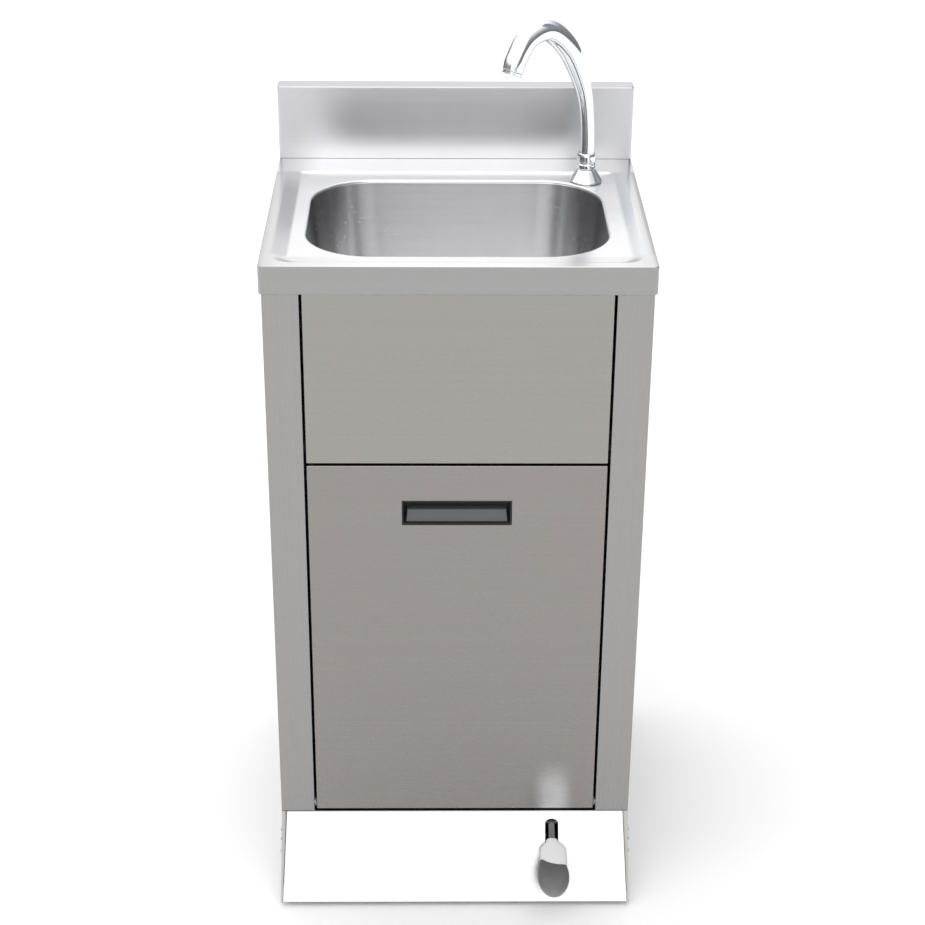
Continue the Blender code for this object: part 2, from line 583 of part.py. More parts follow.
# ---- water containers ----------------------------------------------------------------------------------------
def container(sign, name, mat):
    """A blow-moulded can with rounded edges and a threaded neck near its front."""
    cx, cy = sign * CAN_X, CAN_Y
    nx, ny = sign * CAN_X, NECK_AT[1]
    z0, z1 = CAN_Z, CAN_Z + CAN_H
    n = 4

    def ring(inset, r, z):
        return [(x, y, z) for x, y in rounded(cx, cy, CAN_HX - inset, CAN_HY - inset, r, n)]

    def neck(r, z):
        return [(x, y, z) for x, y in rounded(nx, ny, r, r, r, n)]

    rings = [
        ring(14, 12, z0), ring(5, 20, z0 + 2), ring(0, 24, z0 + 12), ring(0, 24, z1 - 26), ring(6, 20, z1 - 8),
        ring(18, 14, z1 - 1), neck(NECK_R + 4, z1 + 1), neck(NECK_R, z1 + 3), neck(NECK_R, z1 + NECK_H),
    ]
    obj = loft(name, rings, mat, cap_start=True)
    thicken(obj, 2.2, -1.0)
    # the carrying grip: an arch over the back of the can
    y0, y1, gz = cy + 8, cy + 128, z1 + 30
    knots = [(cx, y0, z1 + 6.8), (cx, y0 + 2, z1 + 20), (cx, y0 + 16, gz), (cx, (y0 + y1) / 2, gz + 2), (cx, y1 - 16, gz), (cx, y1 - 2, z1 + 20), (cx, y1, z1 + 6.8)]
    tube(name.replace("container", "grip"), curve_points(knots, 24), 7.0, mat, resolution=2)
    return obj


container(1, "fresh_container", NATURAL)
container(-1, "waste_container", GREY)


def cap(name, sign, hole, mat):
    z = CAN_Z + CAN_H + NECK_H
    turned(
        name,
        [(hole, 0.4), (hole, 3.6), (30.5, 3.6), (32.2, 2.0), (32.2, -15), (28.5, -15), (28.5, 0.4)],
        (sign * NECK_AT[0], NECK_AT[1], z), mat, steps=28,
    )


cap("fresh_cap", 1, 6.9, BLUE)
cap("waste_cap", -1, 17.0, RUBBER)

# ---- foot pump -----------------------------------------------------------------------------------------------
turned("pump_barrel", [(BORE_R, -84), (BARREL_R, -84), (BARREL_R, -36), (BORE_R, -36)], (PEDAL_X, PUMP_BACK, PUMP_Z), GREY, steps=28, axis="Y")
turned("pump_gland", [(5.4, -90), (12, -90), (13, -86), (BARREL_R, -86), (BARREL_R, -84.4), (BORE_R - 0.5, -84.4), (BORE_R - 0.5, -80), (5.4, -80)], (PEDAL_X, PUMP_BACK, PUMP_Z), BLACK, steps=28, axis="Y")
head = turned("pump_head", [(0, -35.6), (BARREL_R, -35.6), (BARREL_R, -22), (28, -19), (0, -19)], (PEDAL_X, PUMP_BACK, PUMP_Z), BLACK, steps=28, axis="Y")
PORTS = {"suction": 14.0, "supply": -12.0}
for tag, dx in PORTS.items():
    boolean(head, rod("port_" + tag, (PEDAL_X + dx, PUMP_BACK - 24, PUMP_Z), (PEDAL_X + dx, PUMP_BACK - 4, PUMP_Z), 4.6, BLACK, sides=12), "UNION")
saddle = box("pump_saddle", (PEDAL_X - 36, PUMP_BACK - 68, FOOT_H + SHEET + GAP), (PEDAL_X + 36, PUMP_BACK - 46, PUMP_Z - 4), STEEL)
boolean(saddle, rod("saddle_cut", (PEDAL_X, PUMP_BACK - 80, PUMP_Z), (PEDAL_X, PUMP_BACK - 30, PUMP_Z), BARREL_R + 0.5, cutter=True, sides=40))

rod_front = PIVOT_Y + NOSE[0] + 6.4
rod_back = PUMP_BACK - 73.0
turned(
    "piston_rod", [(0, rod_front), (10.5, rod_front), (10.5, rod_front + 4), (5, rod_front + 5), (5, rod_back), (0, rod_back)],
    (PEDAL_X, 0, PUMP_Z), CHROME, steps=20, axis="Y",
)
turned("piston", [(0, -72.6), (25, -72.6), (BORE_R - 0.4, -71), (BORE_R - 0.4, -65), (25, -63.5), (0, -63.5)], (PEDAL_X, PUMP_BACK, PUMP_Z), RUBBER, steps=28, axis="Y")


def spring():
    turns, per_turn, wire = 4.5, 12, 0.9
    y0, y1 = rod_front + 5.4, PUMP_BACK - 90.3
    count = int(turns * per_turn)
    points = []
    for k in range(count + 1):
        a = 2 * math.pi * k / per_turn
        y = y0 + wire + (y1 - y0 - 2 * wire) * k / count
        points.append((PEDAL_X + 8.0 * math.cos(a), y, PUMP_Z + 8.0 * math.sin(a)))
    tube("return_spring", points, wire, STEEL, resolution=1)


spring()

# ---- pedal ---------------------------------------------------------------------------------------------------
def pedal_bracket():
    """A folded U: two cheeks behind the slope and a foot on the base pan."""
    foot = FOOT_H + SHEET + GAP + 2.0
    cheek = [(-118, foot), (-128, 94), (-147, 94), (-154, 84), (-154, 60), (-150, foot)]
    bm = bmesh.new()
    left = [bm.verts.new(Vector((PEDAL_X - 12, y, z)) * MM) for y, z in cheek]
    right = [bm.verts.new(Vector((PEDAL_X + 12, y, z)) * MM) for y, z in cheek]
    bm.faces.new(left)
    bm.faces.new(list(reversed(right)))
    bm.faces.new((left[0], left[-1], right[-1], right[0]))
    bmesh.ops.recalc_face_normals(bm, faces=bm.faces)
    obj = from_bmesh("pedal_bracket", bm, STEEL)
    obj.data.update()
    outwards = obj.data.polygons[0].normal.x < 0
    thicken(obj, 2.0, 1.0 if outwards else -1.0)
    boolean(obj, rod("bracket_hole", (PEDAL_X - 20, PIVOT_Y, PIVOT_Z), (PEDAL_X + 20, PIVOT_Y, PIVOT_Z), 4.4, cutter=True, sides=16))


pedal_bracket()
rod("pedal_pin", (PEDAL_X - 16, PIVOT_Y, PIVOT_Z), (PEDAL_X + 16, PIVOT_Y, PIVOT_Z), 4.0, CHROME, sides=20)

axis_vec = Vector((PEDAL_TIP[0] - PIVOT_Y, PEDAL_TIP[1] - PIVOT_Z))
PEDAL_LEN = axis_vec.length
ax = axis_vec.normalized()
up = Vector((ax.y, -ax.x))


def lever():
    """A plate lever: a bar to the pedal, a boss on the pin, and an arm down to the pump."""
    p = Vector((PIVOT_Y, PIVOT_Z))
    tip, h = p + ax * 97, 4.0
    c = p + Vector(NOSE)
    down = Vector(NOSE).normalized()
    side = Vector((-down.y, down.x))
    boss = 8.5
    outline = [tuple(tip + up * h), tuple(tip - up * h), tuple(p + ax * 26 - up * h), tuple(p + ax * 12 - up * 6.0)]
    outline += [tuple(p + down * 10 - side * 6.0), tuple(c - side * 4.2 - down * 0.4)]
    outline += [tuple(c + side * 4.2 - down * 0.4), tuple(p + down * 10 + side * 6.0)]
    start = math.atan2(side.y, side.x) - 0.45
    sweep = math.atan2(up.y, up.x) + 0.35 - start
    for k in range(9):  # the back of the boss
        a = start + sweep * k / 8
        outline.append((p.x + boss * math.cos(a), p.y + boss * math.sin(a)))
    outline += [tuple(p + ax * 18 + up * h)]
    hole = [(p.x + 4.4 * math.cos(2 * math.pi * k / 16), p.y + 4.4 * math.sin(2 * math.pi * k / 16)) for k in range(16)]
    return flat_outline("pedal_lever", [outline, hole], PEDAL_X - 4.0, PEDAL_X + 4.0, "YZ", STEEL)


lever()
nose_y, nose_z = PIVOT_Y + NOSE[0], PIVOT_Z + NOSE[1]
nose = rod("lever_nose", (PEDAL_X - 8, nose_y, nose_z), (PEDAL_X + 8, nose_y, nose_z), 6.0, BLACK, sides=20)
boolean(nose, box("nose_slot", (PEDAL_X - 4.4, nose_y - 9, nose_z - 1.9), (PEDAL_X + 4.4, nose_y + 9, nose_z + 20), cutter=True))


def pedal_piece(name, stations, mat, cut_to):
    """A loft along the pedal's axis. Each station is (distance from the pivot, half width, height up, height down)."""
    n, rings = 20, []
    for s, w, above, below in stations:
        ring = []
        for k in range(n):
            a = 2 * math.pi * k / n
            c, q = math.cos(a), math.sin(a)
            x = w * math.copysign(abs(c) ** 0.8, c)
            t = (above if q > 0 else below) * math.copysign(abs(q) ** 0.8, q)
            y = PIVOT_Y + ax.x * s + up.x * t
            z = PIVOT_Z + ax.y * s + up.y * t
            ring.append((PEDAL_X + x, y, z))
        rings.append(ring)
    obj = loft(name, rings, mat, cap_start=True, cap_end=True)
    # the pocket that the lever's bar sits in
    h = 4.4
    p = Vector((PIVOT_Y, PIVOT_Z))
    a, b = p + ax * 15, p + ax * cut_to
    pocket = [tuple(a + up * h), tuple(b + up * h), tuple(b - up * h), tuple(a - up * h)]
    boolean(obj, flat_outline(name + "_pocket", [pocket], PEDAL_X - 4.4, PEDAL_X + 4.4, "YZ", cutter=True))
    return obj


pedal_piece(
    "pedal_head",
    [
        (25.5, 6.9, 5.6, 2.0), (29, 7.3, 6.2, 2.0), (33, 7.5, 6.6, 2.0), (38.5, 14.6, 7.0, 2.2), (43, 16.6, 7.4, 3.4),
        (52, 17.4, 8.0, 5.6), (62, 18.2, 8.6, 7.0),
    ],
    CHROME, 130,
)
pedal_piece(
    "pedal_pad",
    [
        (62.4, 18.8, 9.6, 8.4), (70, 19.6, 10.6, 9.4), (80, 20.0, 11.2, 9.8), (90, 19.6, 11.2, 9.6), (99, 17.6, 10.4, 9.0),
        (105.5, 13.6, 8.6, 7.6), (110, 8.2, 5.8, 5.4), (112.1, 2.4, 2.2, 2.0),
    ],
    GREY_RUBBER, 97.4,
)

# ---- hoses ---------------------------------------------------------------------------------------------------
suction = [
    (PEDAL_X + PORTS["suction"], PUMP_BACK - 3.6, PUMP_Z), (PEDAL_X + PORTS["suction"] + 1, 0, PUMP_Z), (160, 16, PUMP_Z - 2), (186, 4, PUMP_Z + 6),
    (198, -13, 74), (198, -20, 101), (198, -20, 150), (198, -22, 300), (197, -24, 470), (190, -24, 540),
    (150, -40, 575), (105, NECK_AT[1] + 3, 562), (CAN_X, NECK_AT[1], 528), (CAN_X, NECK_AT[1], 500), (CAN_X, NECK_AT[1], 330), (CAN_X, NECK_AT[1], 136),
]
tube("suction_hose", curve_points(suction, 60), 6.0, HOSE, resolution=2)
supply = [
    (PEDAL_X + PORTS["supply"], PUMP_BACK - 3.6, PUMP_Z), (PEDAL_X + PORTS["supply"], 8, PUMP_Z), (122, 44, PUMP_Z - 4), (160, 62, PUMP_Z - 2),
    (190, 48, PUMP_Z + 12), (198, 36, 76), (198, 34, 101), (198, 34, 150), (199, 40, 330), (200, 66, 500), (200, 106, 640),
    (190, 138, 720), (169, 150, 752), (TAP_X, TAP_Y, 770), (TAP_X, TAP_Y, TAP_Z - 62.4),
]
tube("supply_hose", curve_points(supply, 60), 6.0, HOSE, resolution=2)
turned("suction_filter", [(0, 0), (11, 0), (11, 24), (8, 27), (0, 27)], (CAN_X, NECK_AT[1], 108.6), BLACK, steps=16)
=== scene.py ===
import math

import bmesh
import bpy
from mathutils import Matrix, Vector


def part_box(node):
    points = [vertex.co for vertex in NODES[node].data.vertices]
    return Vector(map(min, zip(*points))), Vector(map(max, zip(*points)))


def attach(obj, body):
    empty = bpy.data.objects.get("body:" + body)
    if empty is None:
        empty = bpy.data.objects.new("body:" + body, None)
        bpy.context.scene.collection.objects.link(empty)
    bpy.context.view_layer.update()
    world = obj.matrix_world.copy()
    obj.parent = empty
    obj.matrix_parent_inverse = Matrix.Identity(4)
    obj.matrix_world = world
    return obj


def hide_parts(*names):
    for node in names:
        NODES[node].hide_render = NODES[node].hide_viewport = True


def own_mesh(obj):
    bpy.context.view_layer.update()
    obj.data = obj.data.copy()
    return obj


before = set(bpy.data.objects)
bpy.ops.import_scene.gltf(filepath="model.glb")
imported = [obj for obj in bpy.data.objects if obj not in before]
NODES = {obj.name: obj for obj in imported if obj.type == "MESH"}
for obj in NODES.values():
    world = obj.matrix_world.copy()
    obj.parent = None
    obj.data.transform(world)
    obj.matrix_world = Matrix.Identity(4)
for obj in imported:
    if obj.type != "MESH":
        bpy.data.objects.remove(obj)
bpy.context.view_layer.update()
scene = bpy.context.scene
MM = 0.001


def mm(*v):
    return Vector(v) * MM


# =============================================================== camera
def set_camera():
    yaw, pitch, roll = 0.0157, 0.4710, 0.0078
    fwd = Vector((math.sin(yaw) * math.cos(pitch), math.cos(yaw) * math.cos(pitch), -math.sin(pitch)))
    right = Vector((math.cos(yaw), -math.sin(yaw), 0))
    up = right.cross(fwd)
    r2 = math.cos(roll) * right + math.sin(roll) * up
    u2 = -math.sin(roll) * right + math.cos(roll) * up
    cam = bpy.data.objects.new("camera", bpy.data.cameras.new("camera"))
    scene.collection.objects.link(cam)
    m = Matrix((r2, u2, -fwd)).transposed().to_4x4()
    m.translation = Vector((-0.02723, -2.27206, 1.68555))
    cam.matrix_world = m
    cam.data.sensor_fit = "HORIZONTAL"
    cam.data.sensor_width = 36.0
    cam.data.lens = 2034.677 / 925 * 36.0
    cam.data.clip_start, cam.data.clip_end = 0.05, 60
    scene.camera = cam


set_camera()


# =============================================================== node helpers
def new_material(name):
    mat = bpy.data.materials.new(name)
    mat.use_nodes = True
    nt = mat.node_tree
    return mat, nt, nt.nodes["Principled BSDF"]


def node(nt, kind, **settings):
    n = nt.nodes.new(kind)
    for key, value in settings.items():
        if key == "inputs":
            for k, v in value.items():
                n.inputs[k].default_value = v
        else:
            setattr(n, key, value)
    return n


def coords(nt, scale=(1, 1, 1), rotation=(0, 0, 0)):
    tc = node(nt, "ShaderNodeTexCoord")
    mp = node(nt, "ShaderNodeMapping")
    mp.inputs["Scale"].default_value = scale
    mp.inputs["Rotation"].default_value = rotation
    nt.links.new(tc.outputs["Object"], mp.inputs["Vector"])
    return mp.outputs["Vector"]


def noise(nt, vector, scale, detail=4.0, rough=0.55, distortion=0.0):
    n = node(nt, "ShaderNodeTexNoise")
    n.inputs["Scale"].default_value = scale
    n.inputs["Detail"].default_value = detail
    n.inputs["Roughness"].default_value = rough
    n.inputs["Distortion"].default_value = distortion
    nt.links.new(vector, n.inputs["Vector"])
    return n.outputs["Fac"]


def remap(nt, value, low, high, out_low, out_high):
    n = node(nt, "ShaderNodeMapRange")
    for k, v in zip(("From Min", "From Max", "To Min", "To Max"), (low, high, out_low, out_high)):
        n.inputs[k].default_value = v
    nt.links.new(value, n.inputs["Value"])
    return n.outputs["Result"]


def ramp(nt, value, stops):
    n = node(nt, "ShaderNodeValToRGB")
    el = n.color_ramp.elements
    while len(el) < len(stops):
        el.new(0.5)
    for e, (p, c) in zip(el, stops):
        e.position, e.color = p, (*c, 1)
    nt.links.new(value, n.inputs["Fac"])
    return n.outputs["Color"]


def mix(nt, fac, a, b):
    n = node(nt, "ShaderNodeMix", data_type="RGBA")
    for sock, v in ((n.inputs[0], fac), (n.inputs[6], a), (n.inputs[7], b)):
        if hasattr(v, "is_linked"):
            nt.links.new(v, sock)
        else:
            sock.default_value = v if isinstance(v, float) else (*v, 1)
    return n.outputs[2]


def bump(nt, bsdf, height, strength, distance, below=None):
    n = node(nt, "ShaderNodeBump")
    n.inputs["Strength"].default_value = strength
    n.inputs["Distance"].default_value = distance
    nt.links.new(height, n.inputs["Height"])
    if below is not None:
        nt.links.new(below, n.inputs["Normal"])
    nt.links.new(n.outputs["Normal"], bsdf.inputs["Normal"])
    return n.outputs["Normal"]


# =============================================================== materials
def brushed(name, colour, rough, grain="X", depth=1.0, patch=0.03, warm=0.0, pedal_reflection_patch=False, shaded=None):
    """Stainless sheet with fine lines along one axis, faint cloudiness and a few handling marks."""
    mat, nt, b = new_material(name)
    b.inputs["Metallic"].default_value = 1.0
    stretch = {"X": (1.2, 420, 420), "Z": (420, 420, 1.2), "Y": (420, 1.2, 420)}[grain]
    fine = noise(nt, coords(nt, stretch), 3.0, 3.0, 0.6)
    coarse_s = tuple(v * 0.22 for v in stretch)
    coarse = noise(nt, coords(nt, coarse_s), 3.0, 2.0, 0.5)
    cloud = noise(nt, coords(nt, (1, 1, 1)), 5.5, 3.0, 0.55, 0.4)
    wipe = noise(nt, coords(nt, (1, 1, 1), (0.5, 0.3, 0.9)), 14.0, 5.0, 0.65, 1.2)
    lines = node(nt, "ShaderNodeMath", operation="ADD")
    nt.links.new(fine, lines.inputs[0])
    nt.links.new(coarse, lines.inputs[1])
    total = remap(nt, lines.outputs[0], 0.6, 1.4, 0.0, 1.0)
    dark = tuple(c * (1 - 0.03 - patch) for c in colour)
    light = tuple(min(c * (1 + 0.025 + patch), 1) for c in colour)
    warmer = (colour[0] * (1 + warm), colour[1], colour[2] * (1 - warm))
    tone = ramp(nt, total, [(0.0, dark), (1.0, light)])
    mottled = mix(nt, remap(nt, cloud, 0.35, 0.65, 0.0, 0.35), tone, warmer)
    if pedal_reflection_patch:
        # painted reflection: a lighter patch on the sheet above the pedal
        tc = node(nt, "ShaderNodeTexCoord")
        sep = node(nt, "ShaderNodeSeparateXYZ")
        nt.links.new(tc.outputs["Object"], sep.inputs[0])
        off = node(nt, "ShaderNodeMath", operation="SUBTRACT")
        off.inputs[1].default_value = 0.1245
        nt.links.new(sep.outputs["X"], off.inputs[0])
        away = node(nt, "ShaderNodeMath", operation="ABSOLUTE")
        nt.links.new(off.outputs[0], away.inputs[0])
        across = remap(nt, away.outputs[0], 0.0, 0.032, 1.0, 0.0)
        across.node.interpolation_type = "SMOOTHERSTEP"
        upward = remap(nt, sep.outputs["Z"], 0.105, 0.185, 1.0, 0.0)
        upward.node.interpolation_type = "SMOOTHSTEP"
        spot = node(nt, "ShaderNodeMath", operation="MULTIPLY")
        nt.links.new(across, spot.inputs[0])
        nt.links.new(upward, spot.inputs[1])
        mottled = mix(nt, spot.outputs[0], mottled, (0.70, 0.70, 0.70))
    if shaded:
        shade = node(nt, "ShaderNodeMix", data_type="RGBA", blend_type="MULTIPLY")
        shade.inputs[0].default_value = 1.0
        nt.links.new(mottled, shade.inputs[6])
        nt.links.new(shaded(nt), shade.inputs[7])
        mottled = shade.outputs[2]
    nt.links.new(mottled, b.inputs["Base Color"])
    r1 = remap(nt, total, 0.0, 1.0, rough - 0.02, rough + 0.025)
    r2 = node(nt, "ShaderNodeMath", operation="ADD")
    nt.links.new(r1, r2.inputs[0])
    nt.links.new(remap(nt, wipe, 0.45, 0.75, -0.008, 0.018), r2.inputs[1])
    nt.links.new(r2.outputs[0], b.inputs["Roughness"])
    bump(nt, b, total, 0.22 * depth, 0.00005)
    return mat


def grey(v, tint=0.0):
    return (v, v, v * (1 + tint))


def along(nt, axis, stops):
    """A tone that changes along one axis of the object; the stops are (millimetres, grey)."""
    tc = node(nt, "ShaderNodeTexCoord")
    sep = node(nt, "ShaderNodeSeparateXYZ")
    nt.links.new(tc.outputs["Object"], sep.inputs[0])
    lo, hi = stops[0][0], stops[-1][0]
    span = remap(nt, sep.outputs[axis], lo * MM, hi * MM, 0.0, 1.0)
    return ramp(nt, span, [((p - lo) / (hi - lo), grey(v, 0.012) if isinstance(v, float) else v) for p, v in stops])


def painted_deck_shade(nt):
    """Painted light and shade of the pressed top: bright ledge and front strip, darker pressed flanks and rolled rims.
    """
    across = along(nt, "X", [
        (-225, 0.40), (-221.5, 0.45), (-219, 0.50), (-213.5, 0.51), (-211.5, (0.385, 0.385, 0.405)), (-195.5, (0.385, 0.385, 0.405)), (-193, 0.79), (-150, 0.81),
        (150, 0.81), (197, 0.80), (199.5, (0.62, 0.645, 0.66)), (211, (0.63, 0.655, 0.67)), (213.5, 0.60), (219.5, 0.50), (221.5, 0.30), (225, 0.30),
    ])
    plain = along(nt, "X", [(-225, 0.40), (-221.5, 0.48), (-219, 0.60), (-150, 0.68), (150, 0.68), (212, 0.60), (219.5, 0.52), (221.5, 0.32), (225, 0.30)])
    ledge = along(nt, "X", [(-225, 0.6), (-205, 0.72), (-170, 1.0), (150, 1.0), (165, 0.98), (200, 0.78), (225, 0.5)])
    body = mix(nt, along(nt, "Y", [(-119, 0.0), (-112, 1.0), (110, 1.0), (160, 0.3), (175, 0.2)]), plain, across)
    body = mix(nt, along(nt, "Y", [(-150, 1.0), (-116, 1.0), (-108, 0.45), (-70, 0.4), (-10, 0.0), (225, 0.0)]), body, along(nt, "X", [(-225, 0.40), (-219, 0.50), (-200, 0.60), (-150, 0.66), (-110, 0.70), (110, 0.70), (180, 0.66), (219, 0.55), (225, 0.32)]))
    return mix(nt, along(nt, "Y", [(-150, 0.0), (172.5, 0.0), (175.5, 1.0), (226, 1.0)]), body, ledge)


def painted_bowl_shade(nt):
    # painted shade: darker at the bowl's left and right ends, lighter across the middle
    return along(nt, "X", [(-177, 0.38), (-152, 0.41), (-143, 0.69), (-90, 0.72), (60, 0.73), (128, 0.77), (143, 0.76), (152, 0.50), (177, 0.47)])


def painted_upstand_shade(nt):
    # painted shade and painted reflection: a little darker near the spout, and a darker top face
    wide = along(nt, "X", [(-225, 0.62), (-185, 0.67), (-130, 0.66), (-70, 0.64), (60, 0.65), (120, 0.62), (158, 0.59), (185, 0.60), (225, 0.62)])
    return mix(nt, along(nt, "Z", [(850, 0.0), (943.5, 0.0), (944.8, 1.0), (945, 1.0)]), wide, (0.46, 0.46, 0.47))


def chrome(name, colour=(0.86, 0.87, 0.89), rough=0.045):
    mat, nt, b = new_material(name)
    b.inputs["Metallic"].default_value = 1.0
    b.inputs["Base Color"].default_value = (*colour, 1)
    spots = noise(nt, coords(nt), 220.0, 4.0, 0.6)
    smears = noise(nt, coords(nt, (1, 1, 1), (0.4, 0.2, 0.1)), 38.0, 5.0, 0.62, 0.8)
    r = node(nt, "ShaderNodeMath", operation="ADD")
    nt.links.new(remap(nt, smears, 0.42, 0.72, rough, rough + 0.07), r.inputs[0])
    nt.links.new(remap(nt, spots, 0.6, 0.8, 0.0, 0.05), r.inputs[1])
    nt.links.new(r.outputs[0], b.inputs["Roughness"])
    tint = ramp(nt, smears, [(0.35, tuple(c * 0.96 for c in colour)), (0.7, colour)])
    nt.links.new(tint, b.inputs["Base Color"])
    bump(nt, b, smears, 0.05, 0.0002)
    return mat


def moulded(name, colour, rough=0.5, grain=900.0, depth=0.25, vary=0.08, spec=0.45):
    """Moulded plastic or rubber: a fine spark-eroded texture, slight colour drift and scuffs."""
    mat, nt, b = new_material(name)
    b.inputs["Specular IOR Level"].default_value = spec
    drift = noise(nt, coords(nt), 9.0, 4.0, 0.6)
    grit = noise(nt, coords(nt), grain, 2.0, 0.6)
    scuff = noise(nt, coords(nt, (1, 3, 1), (0.2, 0.5, 0.8)), 55.0, 6.0, 0.7, 0.6)
    base = ramp(nt, drift, [(0.3, tuple(c * (1 - vary) for c in colour)), (0.7, tuple(min(c * (1 + vary), 1) for c in colour))])
    light = tuple(min(c * 1.25 + 0.02, 1) for c in colour)
    worn = mix(nt, remap(nt, scuff, 0.6, 0.78, 0.0, 0.5), base, light)
    nt.links.new(worn, b.inputs["Base Color"])
    r = node(nt, "ShaderNodeMath", operation="ADD")
    nt.links.new(remap(nt, grit, 0.3, 0.7, rough - 0.05, rough + 0.06), r.inputs[0])
    nt.links.new(remap(nt, scuff, 0.55, 0.8, 0.0, 0.12), r.inputs[1])
    nt.links.new(r.outputs[0], b.inputs["Roughness"])
    bump(nt, b, grit, depth, 0.00012)
    return mat


def translucent(name, colour):
    """Natural blow-moulded plastic: milky, slightly uneven wall."""
    mat, nt, b = new_material(name)
    b.inputs["Roughness"].default_value = 0.38
    b.inputs["Subsurface Weight"].default_value = 0.25
    b.inputs["Subsurface Radius"].default_value = (0.02, 0.02, 0.02)
    b.inputs["Subsurface Scale"].default_value = 0.5
    drift = noise(nt, coords(nt, (1, 1, 0.4)), 12.0, 4.0, 0.55, 0.4)
    peel = noise(nt, coords(nt), 160.0, 3.0, 0.5)
    base = ramp(nt, drift, [(0.3, tuple(c * 0.94 for c in colour)), (0.7, colour)])
    nt.links.new(base, b.inputs["Base Color"])
    nt.links.new(remap(nt, peel, 0.3, 0.7, 0.32, 0.46), b.inputs["Roughness"])
    bump(nt, b, peel, 0.16, 0.0004)
    return mat


def pad_rubber(name):
    """Grey foot rubber with painted light: paler towards the toe, darker towards the top."""
    mat, nt, b = new_material(name)
    tc = node(nt, "ShaderNodeTexCoord")
    sep = node(nt, "ShaderNodeSeparateXYZ")
    nt.links.new(tc.outputs["Object"], sep.inputs[0])
    painted_toe_light = remap(nt, sep.outputs["Z"], 0.041, 0.072, 1.0, 0.0)
    grit = noise(nt, coords(nt), 800.0, 2.0, 0.6)
    scuff = noise(nt, coords(nt, (1, 3, 1), (0.2, 0.5, 0.8)), 120.0, 5.0, 0.65, 0.4)
    tone = ramp(nt, painted_toe_light, [(0.0, (0.082, 0.082, 0.084)), (0.55, (0.135, 0.136, 0.138)), (1.0, (0.27, 0.275, 0.28))])
    nt.links.new(mix(nt, remap(nt, scuff, 0.58, 0.8, 0.0, 0.25), tone, (0.3, 0.3, 0.3)), b.inputs["Base Color"])
    nt.links.new(remap(nt, grit, 0.3, 0.7, 0.34, 0.44), b.inputs["Roughness"])
    b.inputs["Specular IOR Level"].default_value = 0.45
    bump(nt, b, grit, 0.25, 0.00012)
    return mat


M = {
    # the worktop's base colour is multiplied by a painted shade and reflection tone
    "worktop": brushed("worktop_steel", (0.975, 0.975, 0.98), 0.24, "X", 0.3, 0.0, shaded=painted_deck_shade),
    # painted shade: a darker copy of the worktop steel for its fascia
    "edge": brushed("worktop_fascia_steel_painted_shade", (0.335, 0.335, 0.330), 0.26, "X", 0.3, 0.0),
    "bowl": brushed("bowl_steel", (0.975, 0.975, 0.97), 0.25, "X", 0.3, 0.0, shaded=painted_bowl_shade),
    "upstand": brushed("upstand_steel", (0.975, 0.978, 0.99), 0.33, "X", 0.3, 0.0, shaded=painted_upstand_shade),
    # painted shade: apron, door and stiles take darker base colours than the same stainless on top
    "cabinet": brushed("apron_steel_painted_shade", (0.326, 0.315, 0.291), 0.28, "X", 0.3, 0.003, 0.01),
    # the door steel carries the painted reflection patch above the pedal
    "door": brushed("door_steel_painted_shade", (0.289, 0.271, 0.257), 0.27, "X", 0.3, 0.003, 0.01, pedal_reflection_patch=True),
    "stile": brushed("stile_steel_painted_shade", (0.332, 0.326, 0.317), 0.28, "Z", 0.3, 0.003, 0.008),
    "plinth": brushed("plinth_steel", (0.60, 0.60, 0.60), 0.26, "X", 0.3, 0.0),
    "inner": brushed("inner_steel", (0.42, 0.42, 0.415), 0.38, "Y", 0.6, 0.02),
    # painted shade: a dark copy of the steel for the lever and pin in the slot
    "lever": brushed("lever_steel_painted_shade", (0.17, 0.17, 0.172), 0.42, "Y", 0.6, 0.03),
    "chrome": chrome("chrome"),
    "satin": chrome("satin_chrome", (0.5, 0.5, 0.505), 0.3),
    "pedal_metal": moulded("pedal_metal", (0.74, 0.74, 0.74), 0.33, 500.0, 0.1, 0.02, 0.5),
    "pad": pad_rubber("pedal_rubber"),
    "rubber": moulded("black_rubber", (0.022, 0.022, 0.023), 0.7, 600.0, 0.35, 0.12, 0.3),
    # painted shade: the cup's shell is the plate's plastic darkened for the shade in the recess
    "cup": moulded("handle_cup_plastic", (0.028, 0.029, 0.029), 0.42, 800.0, 0.25, 0.05, 0.4),
    "cup_plate": moulded("handle_plate_plastic", (0.098, 0.104, 0.108), 0.38, 800.0, 0.2, 0.04, 0.4),
    "dark": moulded("dark_plastic", (0.03, 0.032, 0.035), 0.45, 800.0, 0.3, 0.08),
    "grey": moulded("grey_plastic", (0.22, 0.225, 0.235), 0.48, 800.0, 0.3, 0.06),
    "blue": moulded("blue_plastic", (0.03, 0.12, 0.38), 0.34, 900.0, 0.2, 0.05),
    "natural": translucent("natural_plastic", (0.80, 0.83, 0.84)),
    "hose": translucent("hose_plastic", (0.62, 0.67, 0.70)),
}

# =============================================================== mesh helpers
FLAT = []


def put(name, mesh_or_bm, mat, body, smooth=35, replaces=(), flat=False):
    """Makes the piece, shades it, hangs it on its body and hides the CAD nodes it stands for."""
    if isinstance(mesh_or_bm, bmesh.types.BMesh):
        mesh = bpy.data.meshes.new(name)
        mesh_or_bm.to_mesh(mesh)
        mesh_or_bm.free()
    else:
        mesh = mesh_or_bm
    mesh.shade_smooth()
    mesh.set_sharp_from_angle(angle=math.radians(smooth))
    obj = bpy.data.objects.new(name, mesh)
    scene.collection.objects.link(obj)
    mesh.materials.clear()
    mesh.materials.append(M[mat])
    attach(obj, body)
    if replaces:
        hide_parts(*((replaces,) if isinstance(replaces, str) else replaces))
    if flat:
        FLAT.append(obj)
    return obj


